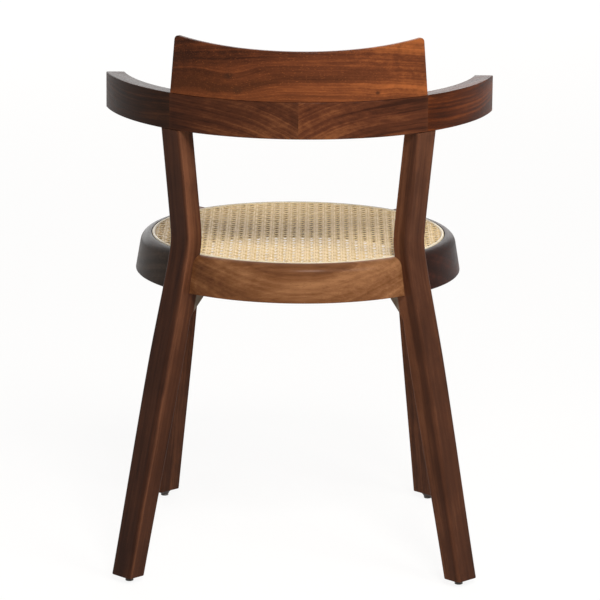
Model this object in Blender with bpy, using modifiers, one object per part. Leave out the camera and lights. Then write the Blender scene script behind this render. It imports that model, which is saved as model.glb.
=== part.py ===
"""Cane dining chair: a round seat ring with a cane panel, four splayed legs, and a hoop for arms and back.

Metres, +Z up. The chair faces -Y, and +X is the sitter's left. Every piece is modelled about the seat's own
axis, under an empty that brings the middle of the chair's footprint to the origin.
"""
import math

import bmesh
import bpy
from mathutils import Matrix, Vector

# Clearances and cuts
FIT_GAP = 0.0003
CUT_OVERRUN = 0.006
SHARP_ANGLE = math.radians(30)

# Seat ring
SEAT_HEIGHT = 0.455
RING_DEPTH = 0.0527
RING_TOP_RADIUS = 0.2248
RING_FLARE = 0.0087
RING_LAND_WIDTH = 0.0135
RING_LIP_WIDTH = 0.0041
RING_TOP_ROUND = 0.0125
RING_BOTTOM_ROUND = 0.0015
RING_INNER_ROUND = 0.004
GROOVE_DEPTH = 0.0075
RING_STEPS = 12
ROUND_STEPS = 3

# Cane panel and its reed
CANE_THICKNESS = 0.0012
CANE_SAG = 0.006
REED_WIDTH = 0.0044
REED_MARGIN = 0.001
REED_RISE = 0.0008
SEAT_STEPS = 48
SAG_STEPS = 6
CANE_OPENINGS = 11
CANE_OPENING_SHARE = 0.62
CANE_BORDER = 0.006
OPENING_SIDES = 8

# Legs
LEG_WIDTH = 0.039
LEG_ROUND = 0.0055
LEG_FOOT_ROUND = 0.0015
CORNER_STEPS = 4
REAR_SPLAY = math.radians(13.6)
REAR_RECLINE = math.radians(7.15)
REAR_BEND_RISE = 0.0188
REAR_BEND_REACH = 0.045
REAR_BEND_SOFTNESS = 0.0023
REAR_FOOT_DEPTH = 0.0285
REAR_SWELL_DEPTH = 0.0352
REAR_SEAT_DEPTH = 0.0268
REAR_TOP_DEPTH = 0.0265
REAR_SWELL_HEIGHT = 0.3
FRONT_SPLAY = math.radians(7.35)
FRONT_SETBACK = 0.0036
FRONT_FOOT_DEPTH = 0.0292
FRONT_SWELL_DEPTH = 0.0335
FRONT_TOP_DEPTH = 0.0285
FRONT_SWELL_HEIGHT = 0.27
FRONT_TOP_ROUND = 0.004
FOOT_STEPS = 9
BEND_STEPS = 8
NECK_STEPS = 4

# Haunches under the ring
HAUNCH_REACH = 0.0215
HAUNCH_NOSE_HEIGHT = 0.0065
HAUNCH_SLOPE = math.radians(42)
HAUNCH_NOSE_ROUND = 0.006
HAUNCH_FOOT_ROUND = 0.0185
HAUNCH_INSET = 0.001
HAUNCH_TAPER = math.radians(4)
HAUNCH_SINK = 0.0008
HAUNCH_ROUND = 0.0025
HAUNCH_STEPS = 3

# Hoop of two back rails and two arms
HOOP_BOTTOM = 0.6355
HOOP_HEIGHT = 0.0515
HOOP_RADIUS = 0.2653
HOOP_THICKNESS = 0.0235
HOOP_ROUND = 0.0015
ARM_RADIUS = 0.3163
ARM_END_THICKNESS = 0.0262
ARM_END_Y = 0.0075
HOOP_STEPS = 10

# Back panel
PANEL_RECEDE = 0.009
PANEL_TOP_THICKNESS = 0.008
PANEL_HEIGHT = 0.068
PANEL_END_RISE = 0.0117
PANEL_CORNER = 0.0065
PANEL_ROUND = 0.002
PANEL_STEPS = 20

# Loose tongues, tenons and dowels
TENON_WIDTH = 0.024
TENON_DEPTH = 0.01
TENON_HEIGHT = 0.022
TENON_ROUND = 0.0042
HOOP_TONGUE_LENGTH = 0.04
HOOP_TONGUE_THICKNESS = 0.008
HOOP_TONGUE_HEIGHT = 0.018
HOOP_TONGUE_DROP = 0.007
RING_TONGUE_LENGTH = 0.044
RING_TONGUE_WIDTH = 0.01
RING_TONGUE_THICKNESS = 0.006
RING_TONGUE_INSET = 0.0055
RING_TONGUE_RISE = 0.008
DOWEL_RADIUS = 0.004
DOWEL_LENGTH = 0.036
DOWEL_OUTER_SHARE = 0.71
DOWEL_INNER_SHARE = 0.285
DOWEL_SIDES = 16

# Screws through the ring into the legs
SCREW_DROP = 0.0215
SCREW_SPREAD = 0.018
SCREW_SINK = 0.004
SCREW_HEAD_RADIUS = 0.0042
SCREW_HEAD_HEIGHT = 0.0025
SCREW_RADIUS = 0.002
SCREW_LENGTH = 0.03
SCREW_POINT = 0.003

# Glides
GLIDE_TOP_RADIUS = 0.0092
GLIDE_BOTTOM_RADIUS = 0.006
GLIDE_HEIGHT = 0.0059
GLIDE_SIDES = 20
FELT_RADIUS = 0.0057
FELT_HEIGHT = 0.0022
REAR_GLIDE_INSET = 0.0038
FRONT_GLIDE_INSET = 0.003
NAIL_HEAD_RADIUS = 0.003
NAIL_HEAD_HEIGHT = 0.001
NAIL_RADIUS = 0.0012
NAIL_LENGTH = 0.02
NAIL_POINT = 0.002
PIN_STEPS = 12

# Places worked out from the sizes
RING_BOTTOM = SEAT_HEIGHT - RING_DEPTH
RING_BOTTOM_RADIUS = RING_TOP_RADIUS + RING_FLARE
GROOVE_RADIUS = RING_TOP_RADIUS - RING_LAND_WIDTH
REED_RADIUS = GROOVE_RADIUS - REED_MARGIN
REED_INNER_RADIUS = REED_RADIUS - REED_WIDTH
REED_TOP = SEAT_HEIGHT + REED_RISE
CANE_EDGE_RADIUS = REED_INNER_RADIUS - FIT_GAP
LIP_RADIUS = CANE_EDGE_RADIUS - CANE_THICKNESS - FIT_GAP
RING_INNER_RADIUS = LIP_RADIUS - RING_LIP_WIDTH
LIP_HEIGHT = SEAT_HEIGHT - CANE_THICKNESS - FIT_GAP
GROOVE_BOTTOM = SEAT_HEIGHT - GROOVE_DEPTH
LEG_FACE_RADIUS = REED_RADIUS + FIT_GAP
REAR_BEND_HEIGHT = SEAT_HEIGHT + REAR_BEND_RISE
FELT_TOP = FELT_HEIGHT
GLIDE_BOTTOM = FELT_TOP + FIT_GAP
GLIDE_TOP = GLIDE_BOTTOM + GLIDE_HEIGHT
FOOT_HEIGHT = GLIDE_TOP + FIT_GAP
HOOP_TOP = HOOP_BOTTOM + HOOP_HEIGHT
PANEL_BOTTOM = HOOP_TOP + FIT_GAP
CORNER_ANGLES = {
    "rear_left": math.radians(45),
    "rear_right": math.radians(135),
    "front_right": math.radians(225),
    "front_left": math.radians(315),
}

# Finishes: linear colour, roughness, metallic
WALNUT = ((0.2, 0.085, 0.04, 1), 0.42, 0)
DARK_WALNUT = ((0.12, 0.052, 0.027, 1), 0.42, 0)
BEECH = ((0.55, 0.38, 0.22, 1), 0.6, 0)
CANE = ((0.68, 0.53, 0.33, 1), 0.55, 0)
REED = ((0.78, 0.68, 0.48, 1), 0.5, 0)
BROWN_PLASTIC = ((0.05, 0.028, 0.018, 1), 0.45, 0)
GREY_FELT = ((0.22, 0.21, 0.2, 1), 0.95, 0)
STEEL = ((0.6, 0.6, 0.6, 1), 0.35, 1)


def clear_scene():
    """Removes every object that the file opened with."""
    for old in list(bpy.data.objects):
        bpy.data.objects.remove(old, do_unlink=True)


def new_collection(name):
    """Makes a collection in the scene."""
    collection = bpy.data.collections.new(name)
    bpy.context.scene.collection.children.link(collection)
    return collection


def new_finish(name, finish):
    """Makes a piece's own material from a finish."""
    colour, roughness, metallic = finish
    material = bpy.data.materials.new(name)
    material.use_nodes = True
    shader = material.node_tree.nodes["Principled BSDF"]
    shader.inputs["Base Color"].default_value = colour
    shader.inputs["Roughness"].default_value = roughness
    shader.inputs["Metallic"].default_value = metallic
    material.diffuse_color = colour
    return material


def place(name, mesh, parent, finish):
    """Makes an object from a mesh: a piece where there is a finish, and a cutter where there is none."""
    solid = bpy.data.objects.new(name, mesh)
    solid.parent = parent
    if finish is None:
        cutters.objects.link(solid)
        solid.hide_render = True
        solid.display_type = "WIRE"
        return solid
    pieces.objects.link(solid)
    mesh.materials.append(new_finish(name, finish))
    mesh.shade_smooth()
    mesh.set_sharp_from_angle(angle=SHARP_ANGLE)
    return solid


def to_mesh(name, bm):
    """Turns bm into a mesh whose faces point out."""
    bmesh.ops.recalc_face_normals(bm, faces=bm.faces)
    mesh = bpy.data.meshes.new(name)
    bm.to_mesh(mesh)
    bm.free()
    return mesh


def solid_from(name, bm, parent, finish=None):
    """Makes an object from bm."""
    return place(name, to_mesh(name, bm), parent, finish)


def loft(sections):
    """Joins sections, each a loop of as many points, into a closed solid. Returns it and its loops."""
    bm = bmesh.new()
    loops = [[bm.verts.new(point) for point in section] for section in sections]
    for lower, upper in zip(loops, loops[1:]):
        for index, corner in enumerate(lower):
            after = (index + 1) % len(lower)
            bm.faces.new((corner, lower[after], upper[after], upper[index]))
    bm.faces.new(loops[0][::-1])
    bm.faces.new(loops[-1])
    bmesh.ops.recalc_face_normals(bm, faces=bm.faces)
    return bm, loops


def round_edges(bm, edges, radius, segments):
    """Rounds the edges."""
    bmesh.ops.bevel(bm, geom=edges, offset=radius, segments=segments, profile=0.5, affect="EDGES")


def sharp_edges(bm, spared):
    """Returns the sharp edges, apart from those between two spared corners."""
    bm.normal_update()
    sharp = [edge for edge in bm.edges if edge.calc_face_angle(0) > SHARP_ANGLE]
    return [edge for edge in sharp if not all(corner in spared for corner in edge.verts)]


def turned_mesh(name, profile, steps):
    """Turns a profile of (radius, height) points, which runs down its outer side, about Z."""
    mesh = bpy.data.meshes.new(name)
    closed = profile[0][0] > 0
    links = [(index, index + 1) for index in range(len(profile) - 1)]
    if closed:
        links.append((len(profile) - 1, 0))
    mesh.from_pydata([(radius, 0, height) for radius, height in profile], links, [])
    outline = bpy.data.objects.new(name, mesh)
    cutters.objects.link(outline)
    screw = outline.modifiers.new("Turn", "SCREW")
    screw.steps = steps
    screw.render_steps = steps
    screw.use_merge_vertices = True
    screw.merge_threshold = 0.00001
    bpy.context.view_layer.update()
    turned = bpy.data.meshes.new_from_object(outline.evaluated_get(bpy.context.evaluated_depsgraph_get()))
    turned.name = name
    bpy.data.objects.remove(outline, do_unlink=True)
    return turned


def sector(profile, start, sweep):
    """Spins a closed profile of (radius, height) points about Z, as one closed segment of a ring."""
    bm = bmesh.new()
    turn = Matrix.Rotation(start, 3, "Z")
    corners = [bm.verts.new(turn @ Vector((radius, 0, height))) for radius, height in profile]
    face = bm.faces.new(corners)
    outline = [face, *face.edges, *corners]
    bmesh.ops.spin(bm, geom=outline, cent=(0, 0, 0), axis=(0, 0, 1), angle=sweep, steps=RING_STEPS)
    return bm


def copies(name, mesh, turns, parent, finish):
    """Makes a piece of the mesh under each matrix, named for its place."""
    for spot, turn in turns.items():
        piece = place(name + "_" + spot, mesh.copy(), parent, finish)
        piece.matrix_local = turn


def cutter_group(name, mesh, turns, parent):
    """Makes one cutter of a copy of the mesh under each matrix."""
    bm = bmesh.new()
    for turn in turns.values():
        single = mesh.copy()
        single.transform(turn)
        bm.from_mesh(single)
        bpy.data.meshes.remove(single)
    return solid_from(name, bm, parent)


def cut(solid, *tools):
    """Cuts the solid with each tool."""
    for tool in tools:
        boolean = solid.modifiers.new(tool.name, "BOOLEAN")
        boolean.operation = "DIFFERENCE"
        boolean.solver = "EXACT"
        boolean.object = tool


def join(solid, addition):
    """Joins the addition to the solid."""
    boolean = solid.modifiers.new(addition.name, "BOOLEAN")
    boolean.operation = "UNION"
    boolean.solver = "EXACT"
    boolean.object = addition


def box_mesh(name, size, grow):
    """Makes a box of the size, larger by grow on every side."""
    bm = bmesh.new()
    bmesh.ops.create_cube(bm, size=1)
    bmesh.ops.scale(bm, vec=[length + 2 * grow for length in size], verts=bm.verts)
    return to_mesh(name, bm)


def cone_mesh(name, bottom_radius, top_radius, length, sides):
    """Makes a cone or cylinder about Z, centred."""
    bm = bmesh.new()
    bmesh.ops.create_cone(
        bm, cap_ends=True, segments=sides, radius1=bottom_radius, radius2=top_radius, depth=length
    )
    return to_mesh(name, bm)


def spread(start, end, count):
    """Returns count places from start, evenly spaced, short of end."""
    return [start + (end - start) * index / count for index in range(count)]


def arc(centre, radius, start, end, steps):
    """Returns the points of an arc about a centre, in the plane of a profile."""
    turns = [start + (end - start) * index / steps for index in range(steps + 1)]
    return [(centre[0] + radius * math.cos(turn), centre[1] + radius * math.sin(turn)) for turn in turns]


def eased(height, stations):
    """Returns the value at a height, eased between stations of (height, value)."""
    below = stations[0]
    for above in stations[1:]:
        if height <= above[0]:
            share = max(0, (height - below[0]) / (above[0] - below[0]))
            share = share * share * (3 - 2 * share)
            return below[1] + share * (above[1] - below[1])
        below = above
    return below[1]


def rounded_rectangle(depth, width, radius):
    """Returns the points of a rectangle about Z with rounded corners, its depth along X."""
    points = []
    for corner in range(4):
        middle = math.radians(45 + 90 * corner)
        centre_x = math.copysign(depth / 2 - radius, math.cos(middle))
        centre_y = math.copysign(width / 2 - radius, math.sin(middle))
        start = middle - math.radians(45)
        points += arc((centre_x, centre_y), radius, start, start + math.radians(90), CORNER_STEPS)
    return points


def rear_leg_depth(height):
    """Returns how deep a rear leg is, outward, at a height."""
    return eased(height, (
        (0, REAR_FOOT_DEPTH),
        (REAR_SWELL_HEIGHT, REAR_SWELL_DEPTH),
        (SEAT_HEIGHT, REAR_SEAT_DEPTH),
        (HOOP_BOTTOM, REAR_TOP_DEPTH),
    ))


def rear_leg_bend(height):
    """Returns how far a rear leg's middle stands out from the corner of its bend."""
    rise = height - REAR_BEND_HEIGHT
    above = math.tan(REAR_RECLINE)
    below = math.tan(REAR_SPLAY)
    return (above - below) / 2 * rise + math.hypot((above + below) / 2 * rise, REAR_BEND_SOFTNESS)


def rear_leg_middle(height):
    """Returns the radius of a rear leg's middle, whose inner face just clears the reed."""
    at_seat = LEG_FACE_RADIUS + rear_leg_depth(REED_TOP) / 2
    return at_seat + rear_leg_bend(height) - rear_leg_bend(REED_TOP)


def front_leg_depth(height):
    """Returns how deep a front leg is, outward, at a height."""
    return eased(height, (
        (0, FRONT_FOOT_DEPTH),
        (FRONT_SWELL_HEIGHT, FRONT_SWELL_DEPTH),
        (SEAT_HEIGHT, FRONT_TOP_DEPTH),
    ))


def front_leg_middle(height):
    """Returns the radius of a front leg's middle."""
    at_seat = LEG_FACE_RADIUS + FRONT_SETBACK + front_leg_depth(SEAT_HEIGHT) / 2
    return at_seat + math.tan(FRONT_SPLAY) * (SEAT_HEIGHT - height)


def leg_section(middle, depth, height, inset):
    """Returns a leg's section at a height, drawn in by inset, in the frame of its corner."""
    outline = rounded_rectangle(depth(height) - 2 * inset, LEG_WIDTH - 2 * inset, LEG_ROUND)
    return [Vector((middle(height) + x, y, height)) for x, y in outline]


def foot_sections(middle, depth):
    """Returns a leg's first sections, which round the edge of its foot."""
    insets = ((FOOT_HEIGHT, LEG_FOOT_ROUND), (FOOT_HEIGHT + LEG_FOOT_ROUND, 0))
    return [leg_section(middle, depth, height, inset) for height, inset in insets]


def haunch_outline():
    """Returns the haunch's outline as (drop, reach) points, from the ring down to the leg's inner face."""
    rise = math.cos(HAUNCH_SLOPE)
    nose = arc((0, 0), HAUNCH_NOSE_ROUND, 0, HAUNCH_SLOPE, HAUNCH_STEPS)
    points = [(0, HAUNCH_REACH)]
    points += [(HAUNCH_NOSE_HEIGHT + y, HAUNCH_REACH - HAUNCH_NOSE_ROUND + x) for x, y in nose]
    foot_reach = HAUNCH_FOOT_ROUND * (1 - rise)
    drop, reach = points[-1]
    drop += (reach - foot_reach) / math.tan(HAUNCH_SLOPE) + HAUNCH_FOOT_ROUND * math.sin(HAUNCH_SLOPE)
    foot = arc((0, 0), HAUNCH_FOOT_ROUND, HAUNCH_SLOPE, 0, HAUNCH_STEPS)
    points += [(drop - y, HAUNCH_FOOT_ROUND - x) for x, y in foot]
    return points


def haunch(name, middle, depth, parent):
    """Makes the haunch that widens a leg inward under the ring."""
    top = RING_BOTTOM - FIT_GAP
    taper = math.tan(HAUNCH_TAPER)
    half_width = LEG_WIDTH / 2 - HAUNCH_INSET
    outline = haunch_outline()
    foot = top - outline[-1][0]
    sides = []
    for side in (-1, 1):
        section = [Vector((middle(top), side * half_width, top))]
        for drop, reach in outline:
            height = top - drop
            x = middle(height) - depth(height) / 2 - reach + HAUNCH_SINK
            section.append(Vector((x, side * (half_width - taper * reach), height)))
        section.append(Vector((middle(foot), side * half_width, foot)))
        sides.append(section)
    bm, loops = loft(sides)
    rims = [bm.edges.get(pair) for loop in loops for pair in zip(loop[1:-2], loop[2:-1])]
    round_edges(bm, rims, HAUNCH_ROUND, 2)
    return solid_from(name, bm, parent)


def tenon_sections(grow, bottom, top):
    """Returns the two sections of a rear leg's tenon, which stands in the middle of the hoop's thickness."""
    outline = rounded_rectangle(TENON_DEPTH + 2 * grow, TENON_WIDTH + 2 * grow, TENON_ROUND + grow)
    return [[Vector((TENON_RADIUS + x, y, height)) for x, y in outline] for height in (bottom, top)]


def rear_leg(side, parent, screw_pockets, nail_pockets):
    """Makes a rear leg with its haunch and its tenon, and the pocket and notch cutters that follow it."""
    corner = "rear_" + side
    top = HOOP_BOTTOM - FIT_GAP
    low_bend = REAR_BEND_HEIGHT - REAR_BEND_REACH
    high_bend = REAR_BEND_HEIGHT + REAR_BEND_REACH
    heights = spread(FOOT_HEIGHT + LEG_FOOT_ROUND, low_bend, FOOT_STEPS)[1:]
    heights += spread(low_bend, high_bend, BEND_STEPS) + spread(high_bend, top, NECK_STEPS) + [top]
    body = [leg_section(rear_leg_middle, rear_leg_depth, height, 0) for height in heights]
    foot = foot_sections(rear_leg_middle, rear_leg_depth)
    tenon = tenon_sections(0, top, HOOP_BOTTOM + TENON_HEIGHT)
    bm, _ = loft(foot + body + tenon)
    leg = solid_from("rear_leg_" + side, bm, parent, DARK_WALNUT)
    join(leg, haunch(corner + "_haunch", rear_leg_middle, rear_leg_depth, parent))
    cut(leg, screw_pockets, nail_pockets)
    grown = [leg_section(rear_leg_middle, rear_leg_depth, height, -FIT_GAP) for height in heights]
    notch, _ = loft(grown)
    pocket_top = HOOP_BOTTOM + TENON_HEIGHT + FIT_GAP
    mortise, _ = loft(tenon_sections(FIT_GAP, HOOP_BOTTOM - CUT_OVERRUN, pocket_top))
    return solid_from(corner + "_notch", notch, parent), solid_from(corner + "_mortise", mortise, parent)


def front_leg(side, parent, screw_pockets, nail_pockets):
    """Makes a front leg with its haunch, flush with the ring's top, and the notch cutter that follows it."""
    corner = "front_" + side
    top = SEAT_HEIGHT - FRONT_TOP_ROUND
    heights = spread(FOOT_HEIGHT + LEG_FOOT_ROUND, top, FOOT_STEPS)[1:] + [top]
    body = [leg_section(front_leg_middle, front_leg_depth, height, 0) for height in heights]
    foot = foot_sections(front_leg_middle, front_leg_depth)
    crown = []
    for across, up in arc((0, top), FRONT_TOP_ROUND, 0, math.radians(90), ROUND_STEPS)[1:]:
        crown.append(leg_section(front_leg_middle, front_leg_depth, up, FRONT_TOP_ROUND - across))
    bm, _ = loft(foot + body + crown)
    leg = solid_from("front_leg_" + side, bm, parent, DARK_WALNUT)
    join(leg, haunch(corner + "_haunch", front_leg_middle, front_leg_depth, parent))
    cut(leg, screw_pockets, nail_pockets)
    reach = [*heights, SEAT_HEIGHT + CUT_OVERRUN]
    notch, _ = loft([leg_section(front_leg_middle, front_leg_depth, height, -FIT_GAP) for height in reach])
    return solid_from(corner + "_notch", notch, parent)


def ring_profile():
    """Returns the section of the seat ring, as (radius, height) points."""
    slope = math.atan2(RING_FLARE, RING_DEPTH)
    top_centre = RING_TOP_RADIUS + RING_TOP_ROUND * (math.tan(slope) - 1 / math.cos(slope))
    profile = arc(
        (RING_INNER_RADIUS + RING_INNER_ROUND, RING_BOTTOM + RING_INNER_ROUND),
        RING_INNER_ROUND, math.radians(180), math.radians(270), ROUND_STEPS,
    )
    profile += arc(
        (RING_BOTTOM_RADIUS - RING_BOTTOM_ROUND, RING_BOTTOM + RING_BOTTOM_ROUND),
        RING_BOTTOM_ROUND, math.radians(-90), slope, ROUND_STEPS,
    )
    profile += arc(
        (top_centre, SEAT_HEIGHT - RING_TOP_ROUND), RING_TOP_ROUND, slope, math.radians(90), 2 * ROUND_STEPS,
    )
    profile += [
        (GROOVE_RADIUS, SEAT_HEIGHT),
        (GROOVE_RADIUS, GROOVE_BOTTOM),
        (LIP_RADIUS, GROOVE_BOTTOM),
        (LIP_RADIUS, LIP_HEIGHT),
        (RING_INNER_RADIUS, LIP_HEIGHT),
    ]
    return profile


def seat_ring(name, middle, parent, notches, pockets):
    """Makes one segment of the seat ring, a quarter turn about its middle."""
    half_gap = FIT_GAP / 2 / RING_INNER_RADIUS
    start = middle - math.radians(45) + half_gap
    segment = sector(ring_profile(), start, math.radians(90) - 2 * half_gap)
    ring = solid_from(name, segment, parent, WALNUT)
    cut(ring, *notches, *pockets)


def cane_openings(parent):
    """Makes the cutter of the cane's grid of eight-sided openings, each wholly inside the ring."""
    reach = RING_INNER_RADIUS - CANE_BORDER
    pitch = 2 * reach / CANE_OPENINGS
    half_width = pitch * CANE_OPENING_SHARE / 2
    corner_radius = half_width / math.cos(math.pi / OPENING_SIDES)
    level = Matrix.Translation((0, 0, LIP_HEIGHT - CANE_SAG / 2))
    square_on = level @ Matrix.Rotation(math.pi / OPENING_SIDES, 4, "Z")
    last = CANE_OPENINGS // 2
    turns = {}
    for row in range(-last, last + 1):
        for column in range(-last, last + 1):
            middle = Vector((column * pitch, row * pitch, 0))
            if middle.length + corner_radius < reach:
                turns[str(row) + "_" + str(column)] = Matrix.Translation(middle) @ square_on
    depth = CANE_SAG + 2 * CUT_OVERRUN
    opening = cone_mesh("cane_opening", corner_radius, corner_radius, depth, OPENING_SIDES)
    return cutter_group("cane_openings", opening, turns, parent)


def cane_panel(parent):
    """Makes the open cane panel: it sags inside the ring, lies on the lip and turns down into the groove."""
    rim = LIP_HEIGHT + FIT_GAP
    edge_bottom = GROOVE_BOTTOM + FIT_GAP
    radii = [RING_INNER_RADIUS * step / SAG_STEPS for step in range(SAG_STEPS + 1)]
    sag = [(radius, rim - CANE_SAG * (1 - (radius / RING_INNER_RADIUS) ** 2)) for radius in radii]
    inner_edge = LIP_RADIUS + FIT_GAP
    profile = [(radius, height + CANE_THICKNESS) for radius, height in sag]
    profile += [
        (CANE_EDGE_RADIUS, rim + CANE_THICKNESS),
        (CANE_EDGE_RADIUS, edge_bottom),
        (inner_edge, edge_bottom),
        (inner_edge, rim),
    ]
    profile += sag[::-1]
    panel = place("cane_panel", turned_mesh("cane_panel", profile, SEAT_STEPS), parent, CANE)
    cut(panel, cane_openings(parent))


def cane_reed(parent):
    """Makes the reed that wedges the cane in the groove, with a round top."""
    half = REED_WIDTH / 2
    crown = arc((REED_RADIUS - half, REED_TOP - half), half, math.radians(180), 0, 2 * ROUND_STEPS)
    bottom = GROOVE_BOTTOM + FIT_GAP
    profile = [*crown, (REED_RADIUS, bottom), (REED_INNER_RADIUS, bottom)]
    place("cane_reed", turned_mesh("cane_reed", profile, SEAT_STEPS), parent, REED)


def back_rail_point(angle, inset, height):
    """Returns a point of the hoop's back arc, at an angle from +Y towards +X, in from its outer face."""
    radius = HOOP_RADIUS - inset
    return Vector((radius * math.sin(angle), HOOP_CENTRE_Y + radius * math.cos(angle), height))


def arm_point(share, inset, height):
    """Returns a point of an arm's flatter arc, a share of the way from its leg to its flat end."""
    radius = ARM_RADIUS - inset
    centre = back_rail_point(HOOP_JOINT_ANGLE, ARM_RADIUS, height)
    start = HOOP_JOINT_ANGLE + FIT_GAP / 2 / radius
    end = math.acos((ARM_END_Y - centre.y) / radius)
    angle = start + (end - start) * share
    return centre + Vector((radius * math.sin(angle), radius * math.cos(angle), 0))


def bar_section(point, place_along, thickness):
    """Returns the four corners of the hoop at a place along it."""
    corners = ((0, HOOP_BOTTOM), (thickness, HOOP_BOTTOM), (thickness, HOOP_TOP), (0, HOOP_TOP))
    return [point(place_along, inset, height) for inset, height in corners]


def back_rail(side, parent, pockets):
    """Makes the half of the hoop's back between the middle and a leg."""
    half_gap = FIT_GAP / 2 / (HOOP_RADIUS - HOOP_THICKNESS)
    angles = spread(half_gap, HOOP_JOINT_ANGLE - half_gap, HOOP_STEPS) + [HOOP_JOINT_ANGLE - half_gap]
    bm, loops = loft([bar_section(back_rail_point, angle, HOOP_THICKNESS) for angle in angles])
    round_edges(bm, sharp_edges(bm, {*loops[0], *loops[-1]}), HOOP_ROUND, 2)
    bmesh.ops.scale(bm, vec=(SIDES[side], 1, 1), verts=bm.verts)
    cut(solid_from("back_rail_" + side, bm, parent, WALNUT), *pockets)


def arm(side, parent, pockets):
    """Makes an arm, from its leg to its flat end, growing a little thicker."""
    sections = []
    for step in range(HOOP_STEPS + 1):
        share = step / HOOP_STEPS
        thickness = HOOP_THICKNESS + (ARM_END_THICKNESS - HOOP_THICKNESS) * share
        sections.append(bar_section(arm_point, share, thickness))
    bm, loops = loft(sections)
    round_edges(bm, sharp_edges(bm, set(loops[0])), HOOP_ROUND, 2)
    bmesh.ops.scale(bm, vec=(SIDES[side], 1, 1), verts=bm.verts)
    cut(solid_from("arm_" + side, bm, parent, DARK_WALNUT), *pockets)


def back_panel(parent, pockets):
    """Makes the back panel: it stands flush with the hoop, leans in and thins towards its top."""
    top_radius_inset = PANEL_RECEDE
    sections = []
    for step in range(PANEL_STEPS + 1):
        share = 2 * step / PANEL_STEPS - 1
        angle = share * HOOP_JOINT_ANGLE
        top = HOOP_TOP + PANEL_HEIGHT + PANEL_END_RISE * share ** 2
        sections.append([
            back_rail_point(angle, 0, PANEL_BOTTOM),
            back_rail_point(angle, HOOP_THICKNESS, PANEL_BOTTOM),
            back_rail_point(angle, top_radius_inset + PANEL_TOP_THICKNESS, top),
            back_rail_point(angle, top_radius_inset, top),
        ])
    bm, loops = loft(sections)
    bottom = {corner for loop in loops for corner in loop[:2]}
    round_edges(bm, [bm.edges.get(loop[2:]) for loop in (loops[0], loops[-1])], PANEL_CORNER, 4)
    round_edges(bm, sharp_edges(bm, bottom), PANEL_ROUND, 2)
    cut(solid_from("back_panel", bm, parent, WALNUT), *pockets)


def pin_profile(head_radius, head_height, radius, length, point):
    """Returns the profile of a screw or nail whose head's underside is at zero and whose shank runs up."""
    return [(0, length), (radius, length - point), (radius, 0), (head_radius, 0),
            (head_radius, -head_height), (0, -head_height)]


def bored(head_radius, radius, length):
    """Returns the profile of the pocket for such a screw or nail, open past its head."""
    radius += FIT_GAP
    head_radius += FIT_GAP
    return [(0, length + FIT_GAP), (radius, length + FIT_GAP), (radius, FIT_GAP), (head_radius, FIT_GAP),
            (head_radius, -CUT_OVERRUN), (0, -CUT_OVERRUN)]


def screw_turns():
    """Returns the place of each leg screw, its shank along the leg's radius."""
    turns = {}
    lay = Matrix.Rotation(math.radians(90), 4, "Y")
    for corner, angle in CORNER_ANGLES.items():
        for number, side in ((1, -1), (2, 1)):
            height = SEAT_HEIGHT - SCREW_DROP
            seat = Vector((RING_INNER_RADIUS + SCREW_SINK - FIT_GAP, side * SCREW_SPREAD / 2, height))
            turn = Matrix.Rotation(angle, 4, "Z") @ Matrix.Translation(seat) @ lay
            turns[corner + "_" + str(number)] = turn
    return turns


def leg_screws(parent):
    """Makes the screws through the ring into the legs, and returns their pockets' cutter."""
    profile = pin_profile(SCREW_HEAD_RADIUS, SCREW_HEAD_HEIGHT, SCREW_RADIUS, SCREW_LENGTH, SCREW_POINT)
    turns = screw_turns()
    copies("leg_screw", turned_mesh("leg_screw", profile, PIN_STEPS), turns, parent, STEEL)
    pocket = turned_mesh("screw_pocket", bored(SCREW_HEAD_RADIUS, SCREW_RADIUS, SCREW_LENGTH), PIN_STEPS)
    return cutter_group("screw_pockets", pocket, turns, parent)


def glide_turns(height):
    """Returns the place of each foot's glide at a height, by the name of its corner."""
    turns = {}
    for corner, angle in CORNER_ANGLES.items():
        if corner.startswith("rear"):
            radius = rear_leg_middle(FOOT_HEIGHT) - REAR_GLIDE_INSET
        else:
            radius = front_leg_middle(FOOT_HEIGHT) - FRONT_GLIDE_INSET
        turns[corner] = Matrix.Rotation(angle, 4, "Z") @ Matrix.Translation((radius, 0, height))
    return turns


def glides(parent):
    """Makes the glides, their felts and their nails, and returns the nails' cutter."""
    nail_turns = glide_turns(GLIDE_BOTTOM + NAIL_HEAD_HEIGHT)
    profile = pin_profile(NAIL_HEAD_RADIUS, NAIL_HEAD_HEIGHT, NAIL_RADIUS, NAIL_LENGTH, NAIL_POINT)
    copies("glide_nail", turned_mesh("glide_nail", profile, PIN_STEPS), nail_turns, parent, STEEL)
    pocket = turned_mesh("nail_pocket", bored(NAIL_HEAD_RADIUS, NAIL_RADIUS, NAIL_LENGTH), PIN_STEPS)
    pockets = cutter_group("nail_pockets", pocket, nail_turns, parent)
    felt = cone_mesh("glide_felt", FELT_RADIUS, FELT_RADIUS, FELT_HEIGHT, GLIDE_SIDES)
    copies("glide_felt", felt, glide_turns(FELT_HEIGHT / 2), parent, GREY_FELT)
    cup = cone_mesh("glide", GLIDE_BOTTOM_RADIUS, GLIDE_TOP_RADIUS, GLIDE_HEIGHT, GLIDE_SIDES)
    for corner, turn in glide_turns(GLIDE_BOTTOM + GLIDE_HEIGHT / 2).items():
        glide = place("glide_" + corner, cup.copy(), parent, BROWN_PLASTIC)
        glide.matrix_local = turn
        cut(glide, pockets)
    return pockets


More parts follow.
